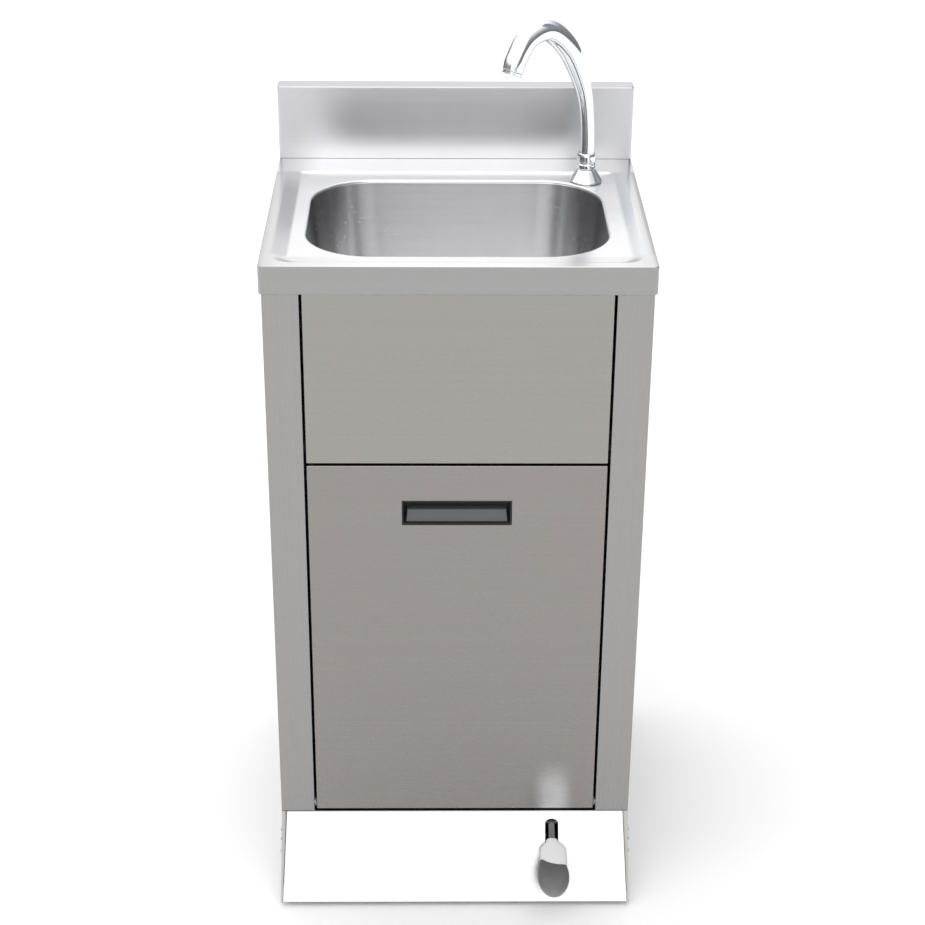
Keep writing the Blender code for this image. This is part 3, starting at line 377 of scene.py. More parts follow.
def thicken(obj, thickness, offset=-1.0):
    s = obj.modifiers.new("sheet", "SOLIDIFY")
    s.thickness, s.offset, s.use_even_offset, s.use_quality_normals = thickness * MM, offset, True, True
    return obj


def soften(obj, width, segments=2, angle=40):
    b = obj.modifiers.new("edge", "BEVEL")
    b.width, b.segments, b.limit_method, b.angle_limit = width * MM, segments, "ANGLE", math.radians(angle)
    b.harden_normals = False
    return obj


def rounded(cx, cy, hx, hy, r, n=12):
    """Rounded rectangle, n + 1 points to each corner, counter-clockwise from the right side."""
    out = []
    for k, (sx, sy) in enumerate(((1, 1), (-1, 1), (-1, -1), (1, -1))):
        for i in range(n + 1):
            a = math.pi / 2 * (k + i / n)
            out.append((cx + sx * (hx - r) + r * math.cos(a), cy + sy * (hy - r) + r * math.sin(a)))
    return out


def loft(rings, cap_start=False, cap_end=False, close=True):
    bm = bmesh.new()
    rows = [[bm.verts.new(Vector(p) * MM) for p in ring] for ring in rings]
    for a, b in zip(rows, rows[1:]):
        count = len(a) if close else len(a) - 1
        for i in range(count):
            j = (i + 1) % len(a)
            bm.faces.new((a[i], a[j], b[j], b[i]))
    if cap_start:
        bm.faces.new(list(reversed(rows[0])))
    if cap_end:
        bm.faces.new(rows[-1])
    bmesh.ops.recalc_face_normals(bm, faces=bm.faces)
    return bm


def catmull(knots, count):
    """A smooth curve through knots of any dimension, evenly shared between them."""
    ends = [[2 * a - b for a, b in zip(knots[0], knots[1])], *knots, [2 * a - b for a, b in zip(knots[-1], knots[-2])]]
    spans, out = len(knots) - 1, []
    for n in range(count + 1):
        t = n / count * spans
        i = min(int(t), spans - 1)
        u = t - i
        out.append(tuple(
            0.5 * (2 * q + (r - p) * u + (2 * p - 5 * q + 4 * r - w) * u**2 + (3 * q - p - 3 * r + w) * u**3)
            for p, q, r, w in zip(*ends[i : i + 4])
        ))
    return out


def fillet(profile, radii, n=5):
    """Rounds the corners of an open 2D profile. radii maps a point's index to its radius."""
    out = []
    for i, p in enumerate(profile):
        r = radii.get(i, 0)
        if not r or i in (0, len(profile) - 1):
            out.append(p)
            continue
        p = Vector(p)
        a, b = Vector(profile[i - 1]) - p, Vector(profile[i + 1]) - p
        la, lb = a.length, b.length
        a, b = a / la, b / lb
        half = a.angle(b) / 2
        d = min(r / math.tan(half), la * 0.49, lb * 0.49)
        s, e = p + a * d, p + b * d
        for k in range(n + 1):
            t = k / n
            out.append(tuple((1 - t) ** 2 * s + 2 * t * (1 - t) * p + t * t * e))
    return out


def turned(profile, at, axis=(0, 0, 1), steps=72, closed=True, flutes=0, flute_depth=0.0, flute_rows=None):
    """Turns a profile of (radius, height) about an axis through `at`."""
    turn = Vector((0, 0, 1)).rotation_difference(Vector(axis).normalized())
    at = Vector(at)
    bm = bmesh.new()
    rows = []
    for i, (r, z) in enumerate(profile):
        if r < 1e-6:
            rows.append([bm.verts.new((at + turn @ Vector((0, 0, z))) * MM)])
            continue
        ring = []
        for k in range(steps):
            a = 2 * math.pi * k / steps
            rr = r
            if flutes and (flute_rows is None or i in flute_rows):
                rr -= flute_depth * (0.5 - 0.5 * math.cos(a * flutes))
            ring.append(bm.verts.new((at + turn @ Vector((rr * math.cos(a), rr * math.sin(a), z))) * MM))
        rows.append(ring)
    pairs = list(zip(rows, rows[1:])) + ([(rows[-1], rows[0])] if closed and len(rows[0]) > 1 and len(rows[-1]) > 1 else [])
    for a, b in pairs:
        if len(a) == 1 and len(b) == 1:
            continue
        for k in range(steps):
            j = (k + 1) % steps
            if len(a) == 1:
                bm.faces.new((a[0], b[j], b[k]))
            elif len(b) == 1:
                bm.faces.new((a[k], a[j], b[0]))
            else:
                bm.faces.new((a[k], a[j], b[j], b[k]))
    bmesh.ops.recalc_face_normals(bm, faces=bm.faces)
    return bm


def sweep(points, radii, sides=24, cap=True, bulge=None):
    """A round tube along points (mm) with a radius at each, carried without twist."""
    pts = [Vector(p) for p in points]
    tangents = []
    for i in range(len(pts)):
        a, b = pts[max(i - 1, 0)], pts[min(i + 1, len(pts) - 1)]
        tangents.append((b - a).normalized())
    ref = tangents[0].orthogonal().normalized()
    bm = bmesh.new()
    rows = []
    for i, (p, t) in enumerate(zip(pts, tangents)):
        ref = (ref - t * ref.dot(t)).normalized()
        side = t.cross(ref)
        r = radii[i] if not isinstance(radii, (int, float)) else radii
        rows.append([
            bm.verts.new((p + (ref * math.cos(2 * math.pi * k / sides) + side * math.sin(2 * math.pi * k / sides)) * r) * MM)
            for k in range(sides)
        ])
    for a, b in zip(rows, rows[1:]):
        for k in range(sides):
            j = (k + 1) % sides
            bm.faces.new((a[k], a[j], b[j], b[k]))
    if cap:
        bm.faces.new(list(reversed(rows[0])))
        bm.faces.new(rows[-1])
    bmesh.ops.recalc_face_normals(bm, faces=bm.faces)
    return bm


def bend(bm, edges, radius, segments=5):
    bmesh.ops.bevel(bm, geom=edges, offset=radius * MM, segments=segments, profile=0.5, affect="EDGES", clamp_overlap=True)


def tray(lo, hi, open_side, radius, segments=5):
    """A box of sheet with one side open and every fold rounded."""
    bm = bmesh.new()
    bmesh.ops.create_cube(bm, size=1.0)
    lo, hi = Vector(lo), Vector(hi)
    bmesh.ops.scale(bm, vec=(hi - lo) * MM, verts=bm.verts)
    bmesh.ops.translate(bm, vec=(hi + lo) * 0.5 * MM, verts=bm.verts)
    k, sign = "XYZ".index(open_side[1]), 1 if open_side[0] == "+" else -1
    bmesh.ops.delete(bm, geom=[f for f in bm.faces if f.normal[k] * sign > 0.9], context="FACES_ONLY")
    bend(bm, [e for e in bm.edges if len(e.link_faces) == 2], radius, segments)
    return bm


def block(lo, hi, radius, segments=3):
    bm = bmesh.new()
    bmesh.ops.create_cube(bm, size=1.0)
    lo, hi = Vector(lo), Vector(hi)
    bmesh.ops.scale(bm, vec=(hi - lo) * MM, verts=bm.verts)
    bmesh.ops.translate(bm, vec=(hi + lo) * 0.5 * MM, verts=bm.verts)
    bend(bm, list(bm.edges), radius, segments)
    return bm


def cut(obj, cutter_bm):
    """Cuts a hole through a piece for good, so that no cutter stays in the scene."""
    mesh = bpy.data.meshes.new("cutter")
    cutter_bm.to_mesh(mesh)
    cutter_bm.free()
    tool = bpy.data.objects.new("cutter", mesh)
    scene.collection.objects.link(tool)
    b = obj.modifiers.new("cut", "BOOLEAN")
    b.operation, b.object, b.solver = "DIFFERENCE", tool, "EXACT"
    bpy.context.view_layer.update()
    done = bpy.data.meshes.new_from_object(obj.evaluated_get(bpy.context.evaluated_depsgraph_get()))
    old = obj.data
    obj.modifiers.clear()
    obj.data = done
    bpy.data.meshes.remove(old)
    bpy.data.objects.remove(tool, do_unlink=True)
    done.shade_smooth()
    done.set_sharp_from_angle(angle=math.radians(35))
    return obj


# =============================================================== dimensions shared with the frame (mm)
W2, FRONT, BACK, DECK, SINK = 225.0, -150.0, 250.0, 850.0, 847.0
EDGE_LOW = 815.0
CAB2, CF, CB, TOP = 222.0, -147.0, 247.0, 843.0
SLOPE_TOP, FOOT, TOE = 101.5, 6.0, -212.0
BX, BY, BR, BC = 176.5, 130.3, 76.0, 20.8


# =============================================================== worktop, bowl, upstand
def worktop():
    cy, hy = (FRONT + BACK) / 2, (BACK - FRONT) / 2
    n = 14

    def ring(hx, hy2, r, z, c=cy):
        return [(x, y, z) for x, y in rounded(0, c, hx, hy2, r, n)]

    rings = [ring(W2 - 9, hy - 9, 2.0, EDGE_LOW + 0.2), ring(W2 - 2, hy - 2, 3.2, EDGE_LOW + 0.2)]
    for k in range(1, 4):
        a = math.pi / 2 * k / 3
        rings.append(ring(W2 - 2 + 2 * math.sin(a), hy - 2 + 2 * math.sin(a), 4.5, EDGE_LOW + 2.2 - 2 * math.cos(a)))
    R = 1.5
    for k in range(0, 8):
        a = math.pi / 2 * k / 7
        rings.append(ring(W2 - R + R * math.cos(a), hy - R + R * math.cos(a), 4.5 - 0.4 * k / 7, DECK - R + R * math.sin(a)))
    # the rim dips to the deck in a soft S; the back keeps a wide flat ledge
    y0, y1 = FRONT + 13, BACK - 24 - 50
    oc, oh = (y0 + y1) / 2, (y1 - y0) / 2
    u0, u1 = y0 + 8.5, y1 - 3.6
    ic, ih = (u0 + u1) / 2, (u1 - u0) / 2
    for k in range(0, 11):
        t = k / 10
        s = 0.5 - 0.5 * math.cos(math.pi * t)
        rings.append(ring(W2 - 13 - 18 * t, oh + (ih - oh) * t, 20 - 4 * t, DECK - (DECK - SINK) * s, oc + (ic - oc) * t))
    # the deck runs flat to the bowl and rolls over its lip
    rings.append(ring(W2 - 31 - 1.5, ih - 0.8, 18, SINK, ic))
    rings.append(ring(BX + 5.6, BY + 3.6, BR + 3.6, SINK, BC))
    L = 3.0
    for k in range(0, 8):
        a = math.pi / 2 * k / 7
        off = L - L * math.sin(a)
        rings.append(ring(BX + off, BY + off, BR + off, SINK - L + L * math.cos(a), BC))
    obj = put("worktop_skin", loft(rings), "worktop", "cabinet", 50, "worktop", True)
    # painted shade: the fascia faces of the same sheet take the darker copy of the steel
    obj.data.materials.append(M["edge"])
    for f in obj.data.polygons:
        c = f.center / MM
        if c.z < 849.3 and (abs(c.x) > 224.4 or c.y < FRONT + 0.6 or c.y > BACK - 0.6):
            f.material_index = 1
    thicken(obj, 1.2, -1.0)
    return obj


def bowl():
    n = 16
    floor = SINK - 150.0
    # inset from the mouth, corner radius and height
    knots = [
        (0.0, BR, SINK - 3.05), (0.6, BR - 0.2, SINK - 12), (5.0, BR - 3, SINK - 55), (10.5, BR - 7, SINK - 98),
        (14.0, BR - 9.5, floor + 34), (18.5, BR - 12.5, floor + 19), (27.5, BR - 18.5, floor + 7.5), (41.0, BR - 28, floor + 2.2),
        (56.0, 45, floor + 0.8), (72.0, 40, floor - 0.4),
    ]
    rings = [[(x, y, z) for x, y in rounded(0, BC, BX - i, BY - i, max(r, 1), n)] for i, r, z in catmull(knots, 44)]
    for r, z in ((46, floor - 1.6), (41, floor - 2.3), (39, floor - 3.0), (37.6, floor - 4.2), (36.6, floor - 4.9), (35.2, floor - 5.0), (24, floor - 5.0)):
        rings.append([(x, y, z) for x, y in rounded(0, BC, r, r, r - 0.01, n)])
    obj = put("bowl_skin", loft(rings), "bowl", "cabinet", 60, "bowl", True)
    flip = max((f for f in obj.data.polygons if abs(f.normal.z) < 0.5), key=lambda f: f.center.x).normal.x > 0
    thicken(obj, 1.1, 1.0 if flip else -1.0)
    return obj


def upstand():
    bm = bmesh.new()
    bmesh.ops.create_cube(bm, size=1.0)
    lo, hi = mm(-W2, BACK - 24, DECK + 0.35), mm(W2, BACK, DECK + 95)
    bmesh.ops.scale(bm, vec=hi - lo, verts=bm.verts)
    bmesh.ops.translate(bm, vec=(hi + lo) * 0.5, verts=bm.verts)
    bmesh.ops.delete(bm, geom=[f for f in bm.faces if f.normal.z < -0.9], context="FACES_ONLY")
    bend(bm, [e for e in bm.edges if abs(e.verts[0].co.z - e.verts[1].co.z) > 0.05], 3.4, 6)
    top = max(v.co.z for v in bm.verts)
    bend(bm, [e for e in bm.edges if min(v.co.z for v in e.verts) > top - 1e-5 and len(e.link_faces) == 2 and any(abs(f.normal.z) < 0.5 for f in e.link_faces)], 2.6, 6)
    obj = put("upstand_skin", bm, "upstand", "cabinet", 50, "upstand", True)
    thicken(obj, 1.2, -1.0)
    return obj


worktop()
bowl()
upstand()


# =============================================================== cabinet
def side_panel(sign, name):
    half, stile, low = CAB2, CAB2 - 42, SLOPE_TOP + 0.8
    bm = bmesh.new()

    def v(x, y, z):
        return bm.verts.new(mm(sign * x, y, z))

    tf, lf = v(half, CF, TOP), v(half, CF, low)
    st, so = v(half, CF, SLOPE_TOP), v(half, TOE, FOOT)
    he, lb, tb = v(half, CB, FOOT), v(half, CB, low), v(half, CB, TOP)
    stt, stl = v(stile, CF, TOP), v(stile, CF, low)
    it, il = v(stile, CF + 18, TOP), v(stile, CF + 18, low)
    rt, rl = v(half - 22, CB, TOP), v(half - 22, CB, low)
    lt, lo = v(half - 6, CF, SLOPE_TOP), v(half - 2.2, TOE, FOOT)
    for loop in ((tf, lf, st, so, he, lb, tb), (stt, stl, lf, tf), (it, il, stl, stt), (tb, lb, rl, rt), (st, lt, lo, so)):
        bm.faces.new(loop if sign > 0 else tuple(reversed(loop)))
    folds = [e for e in bm.edges if len(e.link_faces) == 2]
    bend(bm, folds, 1.3, 4)
    obj = put(name + "_skin", bm, "stile", "cabinet", 50, name, True)
    thicken(obj, 1.2, -1.0)
    return obj


side_panel(-1, "side_panel_left")
side_panel(1, "side_panel_right")


def apron():
    obj = put("front_apron_skin", tray((-177, CF, 601.5), (177, CF + 15, TOP), "+Y", 1.3, 5), "cabinet", "cabinet", 50, "front_apron", True)
    thicken(obj, 1.2, -1.0)


apron()


def plinth():
    d = Vector((TOE - CF, FOOT - SLOPE_TOP)).normalized()
    bm = bmesh.new()
    chain = [(CF + 13, SLOPE_TOP), (CF, SLOPE_TOP), (TOE, FOOT), (TOE + 22, FOOT)]
    wide = (215.3, 215.3, 219.1, 219.1)
    left = [bm.verts.new(mm(-w, y, z)) for w, (y, z) in zip(wide, chain)]
    right = [bm.verts.new(mm(w, y, z)) for w, (y, z) in zip(wide, chain)]
    for i in range(3):
        bm.faces.new((left[i], left[i + 1], right[i + 1], right[i]))
    bmesh.ops.recalc_face_normals(bm, faces=bm.faces)
    folds = [e for e in bm.edges if len(e.link_faces) == 2]
    bend(bm, folds, 1.6, 5)
    obj = put("plinth_skin", bm, "plinth", "cabinet", 50, "plinth_front", True)
    obj.data.update()
    slope = max(obj.data.polygons, key=lambda f: f.area)
    thicken(obj, 1.4, -1.0 if slope.normal.y < 0 else 1.0)
    soften(obj, 0.25, 2, 50)
    # the pedal's slot has a round upper end
    c = Vector((124.0, 0.0))
    n = Vector((0, -0.8267, 0.5627))
    down = Vector((0, -0.5627, -0.8267))
    top = Vector((124.0, CF + (TOE - CF) * (SLOPE_TOP - 93.0) / (SLOPE_TOP - FOOT), 93.0))
    outline = []
    for k in range(13):
        a = math.pi * k / 12
        outline.append((8.4 * math.cos(a), 6.0 - 6.0 * math.sin(a)))
    outline += [(-8.4, 50.0), (8.4, 50.0)]
    rings = []
    for h in (-12, 12):
        rings.append([tuple(top + Vector((x, 0, 0)) + down * t + n * h) for x, t in outline])
    cut(obj, loft(rings, True, True))
    obj.data.materials.append(M["dark"])
    obj.data.update()
    for f in obj.data.polygons:
        g = f.center / MM
        if abs(f.normal.dot(n)) < 0.9 and abs(g.x - 124.0) < 9.6 and g.y > -206 and g.z < 94:
            f.material_index = 1
    return obj


plinth()


# =============================================================== door
def door():
    x0, x1, z0, z1 = -177.0, 177.0, 105.0, 598.5
    hx, lo, hi = 65.5, 536 - 16.5, 536 + 16.5
    y0, y1 = CF, CF + 20.6
    bm = bmesh.new()
    xs, zs = (x0, -hx, hx, x1), (z0, lo, hi, z1)
    grid = [[bm.verts.new(mm(x, y0, z)) for x in xs] for z in zs]
    for i in range(3):
        for j in range(3):
            if (i, j) != (1, 1):
                bm.faces.new((grid[i][j], grid[i][j + 1], grid[i + 1][j + 1], grid[i + 1][j]))
    rim = [grid[0][j] for j in range(4)] + [grid[i][3] for i in (1, 2)] + [grid[3][j] for j in (3, 2, 1, 0)] + [grid[i][0] for i in (2, 1)]
    behind = [bm.verts.new(mm(v.co.x / MM, y1, v.co.z / MM)) for v in rim]
    for i in range(len(rim)):
        j = (i + 1) % len(rim)
        bm.faces.new((rim[i], behind[i], behind[j], rim[j]))
    bmesh.ops.recalc_face_normals(bm, faces=bm.faces)
    folds = [e for e in bm.edges if len(e.link_faces) == 2 and e.link_faces[0].normal.angle(e.link_faces[1].normal) > 0.5]
    bend(bm, folds, 1.4, 5)
    obj = put("door_skin_face", bm, "door", "door", 50, "door_skin", True)
    obj.data.update()
    face = max(obj.data.polygons, key=lambda f: f.area)
    thicken(obj, 1.2, -1.0 if face.normal.y < 0 else 1.0)
    soften(obj, 0.2, 2, 60)
    return obj


door()


def handle_cup():
    hx, hz, zc = 65.0, 16.0, 536.0

    def ring(ix, iz, r, y, slant=0.0):
        return [(x, y - slant * (hz - (z - (zc - hz))) / (2 * hz) * 1.0, z) for x, z in rounded(0, zc, hx - ix, hz - iz, r, 5)]

    rings = [
        ring(-8, -8, 3, CF + 3.4), ring(-8, -8, 3, CF + 1.9), ring(0.1, 0.1, 1.2, CF + 1.8), ring(0.1, 0.1, 1.2, CF + 0.5),
        ring(0.5, 0.5, 1.2, CF + 0.25), ring(1.2, 1.2, 1.2, CF + 0.6), ring(1.6, 1.4, 1.6, CF + 5), ring(2.4, 1.9, 2.2, CF + 11),
        ring(4.6, 3.2, 2.6, CF + 14.2), ring(8.5, 5.2, 2.6, CF + 15.2),
    ]
    obj = put("handle_cup_shell", loft(rings, cap_end=True), "cup", "door", 50, "handle_cup")
    obj.data.update()
    back = max(obj.data.polygons, key=lambda f: f.area)
    thicken(obj, 1.3, -1.0 if back.normal.y < 0 else 1.0)
    low, high = zc - 14.0, zc + 2.0
    front = [(-60.5, low), (60.5, low), (59.0, high), (-59.0, high)]
    rows = []
    for inset, y in ((0.0, CF + 14.6), (0.0, CF + 4.6), (0.8, CF + 3.8)):
        row = []
        for x, z in front:
            t = (z - low) / (high - low)
            row.append((x - math.copysign(inset, x), y + 1.6 * t, z + (inset if z < zc - 5 else -inset)))
        rows.append(row)
    put("handle_cup_plate", loft(rows, True, True), "cup_plate", "door", 30)
    return obj


handle_cup()

# =============================================================== tap
TAP = Vector((162.0, 151.0, SINK))
AZ = math.radians(37.6)
REACH = Vector((-math.cos(AZ), -math.sin(AZ), 0))
put("tap_cone", turned(fillet(
    [(10.4, 0.35), (20.1, 0.35), (20.3, 2.0), (18.8, 4.2), (12.3, 14.2), (11.0, 16.0), (10.4, 16.0)], {1: 0.6, 2: 1.0, 3: 1.6, 4: 2.0, 5: 0.4}, 5
), TAP, steps=96), "chrome", "cabinet", 40, "tap_base")
put("tap_collar_ring", turned(fillet(
    [(9.3, 16.4), (10.9, 16.4), (11.4, 18.0), (11.4, 22.4), (10.2, 23.8), (10.2, 25.4), (11.5, 26.8), (11.5, 33.4), (10.6, 36.4), (9.3, 37.0)],
    {1: 0.4, 2: 0.6, 3: 0.7, 4: 0.5, 5: 0.5, 6: 0.7, 7: 1.2, 8: 0.5}, 4
), TAP, steps=96), "chrome", "cabinet", 40, "tap_collar")

SPOUT = [(0, 17.5), (0, 58.5), (5, 104), (16.7, 138.5), (37.9, 176.3), (69.7, 201.6), (99.5, 196), (117.1, 173.3), (122.2, 161.2)]


def spout():
    pts = [TAP + REACH * r + Vector((0, 0, h)) for r, h in SPOUT]
    line = [Vector(p) for p in catmull([tuple(p) for p in pts], 110)]
    lengths = [0.0]
    for p, q in zip(line, line[1:]):
        lengths.append(lengths[-1] + (q - p).length)

    def radius(t):
        swell = min(max((t - 0.22) / 0.42, 0.0), 1.0)
        swell = swell * swell * (3 - 2 * swell)
        taper = min(max((t - 0.75) / 0.25, 0.0), 1.0)
        return 8.9 + 5.1 * swell - 1.0 * taper

    radii = [radius(v / lengths[-1]) for v in lengths]
    # the end is rolled in round the aerator
    t = (line[-1] - line[-2]).normalized()
    line += [line[-1] + t * 0.5, line[-1] + t * 0.7]
    radii += [12.7, 12.2]
    obj = put("spout_tube", sweep(line, radii, 64, cap=False), "chrome", "spout", 40, "spout_neck")
    thicken(obj, 1.2, -1.0)
    return line, t


LINE, OUT = spout()
END = LINE[-3]
put("aerator_cap", turned(fillet(
    [(0, -3), (11.0, -3), (11.0, 0.9), (12.2, 1.0), (12.3, 4.2), (11.3, 5.0), (9.4, 5.0), (9.2, 3.6), (0, 3.4)],
    {3: 0.3, 4: 0.4, 5: 0.3, 6: 0.3}, 3
), END, OUT, steps=96, closed=False, flutes=24, flute_depth=0.25, flute_rows=set(range(6, 14))), "chrome", "spout", 40, "aerator")


# =============================================================== pedal
PIVOT = Vector((-143.3, 82.0))
TIP = Vector((-250.0, 45.0))
AXV = (TIP - PIVOT).normalized()
UPV = Vector((AXV.y, -AXV.x))


def pedal_point(s, x, t):
    q = PIVOT + AXV * s + UPV * t
    return (124.0 + x, q.x, q.y)


def pedal_body(name, mat, stations, node_name, n=40, count=48, power=0.8, edge=None, aside=0.0):
    rings = []
    for s, w, above, below in catmull(stations, count):
        ring = []
        for k in range(n):
            a = 2 * math.pi * k / n
            c, q = math.cos(a), math.sin(a)
            x = w * math.copysign(abs(c) ** power, c)
            t = (above if q > 0 else below) * math.copysign(abs(q) ** power, q)
            ds = edge(s, x, t) if edge else 0.0
            ring.append(pedal_point(s + ds, x + aside * min(max((s - 33) / 8, 0.0), 1.0), t))
        rings.append(ring)
    obj = put(name, loft(rings, True, True), mat, "pedal", 45, node_name)
    return obj


pedal_body("pedal_neck", "pedal_metal", [
    (29.2, 6.6, 5.4, 1.8), (30.2, 7.4, 6.2, 2.0), (32, 7.7, 6.5, 2.0), (34.5, 8.8, 6.8, 2.1), (38.5, 13.6, 7.0, 2.3), (43, 16.4, 7.4, 3.4),
    (52, 16.9, 8.0, 5.6), (62, 16.9, 8.4, 6.8), (76, 16.6, 8.6, 7.0),
], "pedal_head", aside=1.2)


def pad_edge(s, x, t):
    """The pad's upper boundary sags in a curve that is deepest right of the middle."""
    dip = 9.0 * (1 - ((x - 4.5) / (18.5 if x < 4.5 else 26.0)) ** 2)
    return max(dip, 0.0) * min(max(1 - (s - 61.5) / 20.0, 0.0), 1.0)


pedal_body("pedal_cap", "pad", [
    (61.5, 16.9, 8.9, 7.5), (61.9, 17.3, 9.5, 8.2), (62.8, 17.6, 9.8, 8.6), (67, 18.2, 10.2, 9.0), (74, 19.3, 10.8, 9.5), (82, 19.9, 11.1, 9.8),
    (90, 19.4, 11.1, 9.6), (98.5, 16.9, 10.2, 8.9), (105, 12.9, 8.5, 7.6), (109.4, 8.2, 6.2, 5.6), (111.8, 3.0, 2.6, 2.4),
], "pedal_pad", n=56, count=64, edge=pad_edge)


# =============================================================== feet
for key in ("foot_front_left", "foot_front_right", "foot_rear_left", "foot_rear_right"):
    lo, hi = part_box(key)
    c = ((lo + hi) / 2) / MM
    put(key + "_glide", turned(fillet(
        [(0, 5.6), (14.0, 5.6), (15.5, 3.0), (14.2, 0.0), (6.5, 0.0), (5.0, 1.0), (0, 1.0)], {1: 0.5, 2: 1.0, 3: 0.9, 4: 0.4, 5: 0.4}, 4
    ), (c.x, c.y, 0), steps=64, closed=False), "rubber", "cabinet", 40, key)

# =============================================================== water containers
CAN_X, CAN_Y, CAN_Z0, CAN_Z1, NECK_Y = 90.0, 46.0, 101.7, 481.7, -62.0


def container(sign, name, mat):
    cx = sign * CAN_X

    def ring(inset, r, z):
        return [(x, y, z) for x, y in rounded(cx, CAN_Y, 81 - inset, 160 - inset, r, 10)]

    def neck(r, z):
        return [(x, y, z) for x, y in rounded(cx, NECK_Y, r, r, r - 0.001, 10)]

    z0, z1 = CAN_Z0, CAN_Z1
    rings = [ring(14, 12, z0), ring(8.5, 16, z0 + 0.3), ring(4.6, 19, z0 + 2), ring(1.6, 22, z0 + 6), ring(0, 24, z0 + 13)]
    for zc in (z0 + 84, z0 + 178, z0 + 272):
        for dz, inset in ((-9, 0), (-6.5, 0.7), (-4, 2.0), (-1.5, 2.7), (1.5, 2.7), (4, 2.0), (6.5, 0.7), (9, 0)):
            rings.append(ring(inset, 24, zc + dz))
    rings += [ring(0, 24, z1 - 30), ring(0.8, 23.4, z1 - 20), ring(3.0, 22, z1 - 12.5), ring(7.0, 19, z1 - 6.5), ring(12.5, 16, z1 - 2.6), ring(18, 14, z1 - 1)]
    rings += [neck(32.5, z1 + 0.9), neck(30.2, z1 + 1.8), neck(28.8, z1 + 3.4), neck(28.2, z1 + 6), neck(28.2, z1 + 23.2), neck(27.6, z1 + 24)]
    obj = put(name + "_can", loft(rings, cap_start=True), mat, "cabinet", 50, name)
    thicken(obj, 2.0, -1.0)
    # the carry grip arches over the can's shoulder
    y0, y1, gz = CAN_Y + 8, CAN_Y + 128, z1 + 30
    knots = [(cx, y0, z1 + 6.6), (cx, y0 + 2, z1 + 20), (cx, y0 + 16, gz), (cx, (y0 + y1) / 2, gz + 2), (cx, y1 - 16, gz), (cx, y1 - 2, z1 + 20), (cx, y1, z1 + 6.6)]
    line = catmull(knots, 72)
    grip = sweep(line, 6.9, 24)
    obj = put(name + "_arch", grip, mat, "cabinet", 40, name.replace("container", "grip"))
    # moulded feet blend the grip into the shoulder
    for y in (y0, y1):
        put(f"{name}_boss_{int(y)}", turned(fillet([(0, -2.4), (15, -2.4), (10.2, 0.8), (7.8, 4.4), (7.2, 9.0), (0, 9.0)], {2: 2.5, 3: 2.5}, 4), (cx, y, z1), steps=40, closed=False), mat, "cabinet", 50)


container(1, "fresh_container", "natural")
container(-1, "waste_container", "grey")


def cap(name, sign, hole, mat):
    profile = fillet(
        [(hole, 0.4), (hole, 3.6), (30.5, 3.6), (32.2, 2.0), (32.2, -13.6), (32.2, -15), (28.7, -15), (28.7, 0.4)],
        {1: 0.5, 2: 0.8, 3: 0.8, 5: 0.4}, 4,
    )
    rows = {i for i, q in enumerate(profile) if q[0] > 31.6 and -14.0 < q[1] < 2.6}
    obj = put(name + "_screw", turned(profile, (sign * CAN_X, NECK_Y, 505.7), steps=216, flutes=36, flute_depth=1.1, flute_rows=rows), mat, "cabinet", 35, name)
    put(name + "_grommet", turned(fillet([(hole - 0.5, 3.5), (hole + 2.6, 3.5), (hole + 2.6, 4.9), (hole - 0.1, 5.3)], {1: 0.3, 2: 0.6}, 3), (sign * CAN_X, NECK_Y, 505.7), steps=56), "rubber", "cabinet", 40)
    return obj


cap("fresh_cap", 1, 6.9, "blue")
cap("waste_cap", -1, 17.0, "rubber")

# =============================================================== hoses
PX, PB, PZ = 124.0, -15.3, 40.0
SUCTION = [
    (PX + 14, PB - 3.6, PZ), (PX + 15, 0, PZ), (160, 16, PZ - 2), (186, 4, PZ + 6), (198, -13, 74), (198, -20, 101), (198, -20, 150),
    (198, -22, 300), (197, -24, 470), (190, -24, 540), (150, -40, 575), (105, NECK_Y + 3, 562), (CAN_X, NECK_Y, 528), (CAN_X, NECK_Y, 500),
    (CAN_X, NECK_Y, 330), (CAN_X, NECK_Y, 136),
]
SUPPLY = [
    (PX - 12, PB - 3.6, PZ), (PX - 12, 8, PZ), (122, 44, PZ - 4), (160, 62, PZ - 2), (190, 48, PZ + 12), (198, 36, 76), (198, 34, 101),
    (198, 34, 150), (199, 40, 330), (200, 66, 500), (200, 106, 640), (190, 138, 720), (169, 150, 752), (162, 151, 770), (162, 151, SINK - 62.4),
]
put("suction_tube", sweep(catmull(SUCTION, 210), 6.0, 24), "hose", "cabinet", 60, "suction_hose")
put("supply_tube", sweep(catmull(SUPPLY, 210), 6.0, 24), "hose", "cabinet", 60, "supply_hose")
TAIL = SINK - 155 - 52
WASTE = [
    (0, BC, TAIL - 22.8), (0, BC, TAIL - 31), (0, BC, TAIL - 41), (-11, BC - 8, TAIL - 62), (-45, (BC + NECK_Y) / 2, (TAIL + 505.7) / 2 - 14),
    (-79, NECK_Y + 8, 539.7), (-90, NECK_Y, 519.7), (-90, NECK_Y, 505.7), (-90, NECK_Y, 483.7),
]


def ribbed(points, outer, inner, pitch):
    """A corrugated hose: each wave is eight rings, with plain cuffs at the two ends."""
    fine = [Vector(p) for p in catmull(points, 900)]
    total, lengths = 0.0, [0.0]
    for a, b in zip(fine, fine[1:]):
        total += (b - a).length
        lengths.append(total)
    count = int(total / pitch * 8)
    line, radii, j = [], [], 0
    for k in range(count + 1):
        want = total * k / count
        while j < len(lengths) - 2 and lengths[j + 1] < want:
            j += 1
        u = (want - lengths[j]) / max(lengths[j + 1] - lengths[j], 1e-9)
        line.append(fine[j].lerp(fine[j + 1], u))
        wave = 0.5 + 0.5 * math.cos(2 * math.pi * want / pitch)
        cuff = want < 14 or want > total - 26
        radii.append(outer if cuff else inner + (outer - inner) * wave)
    return line, radii


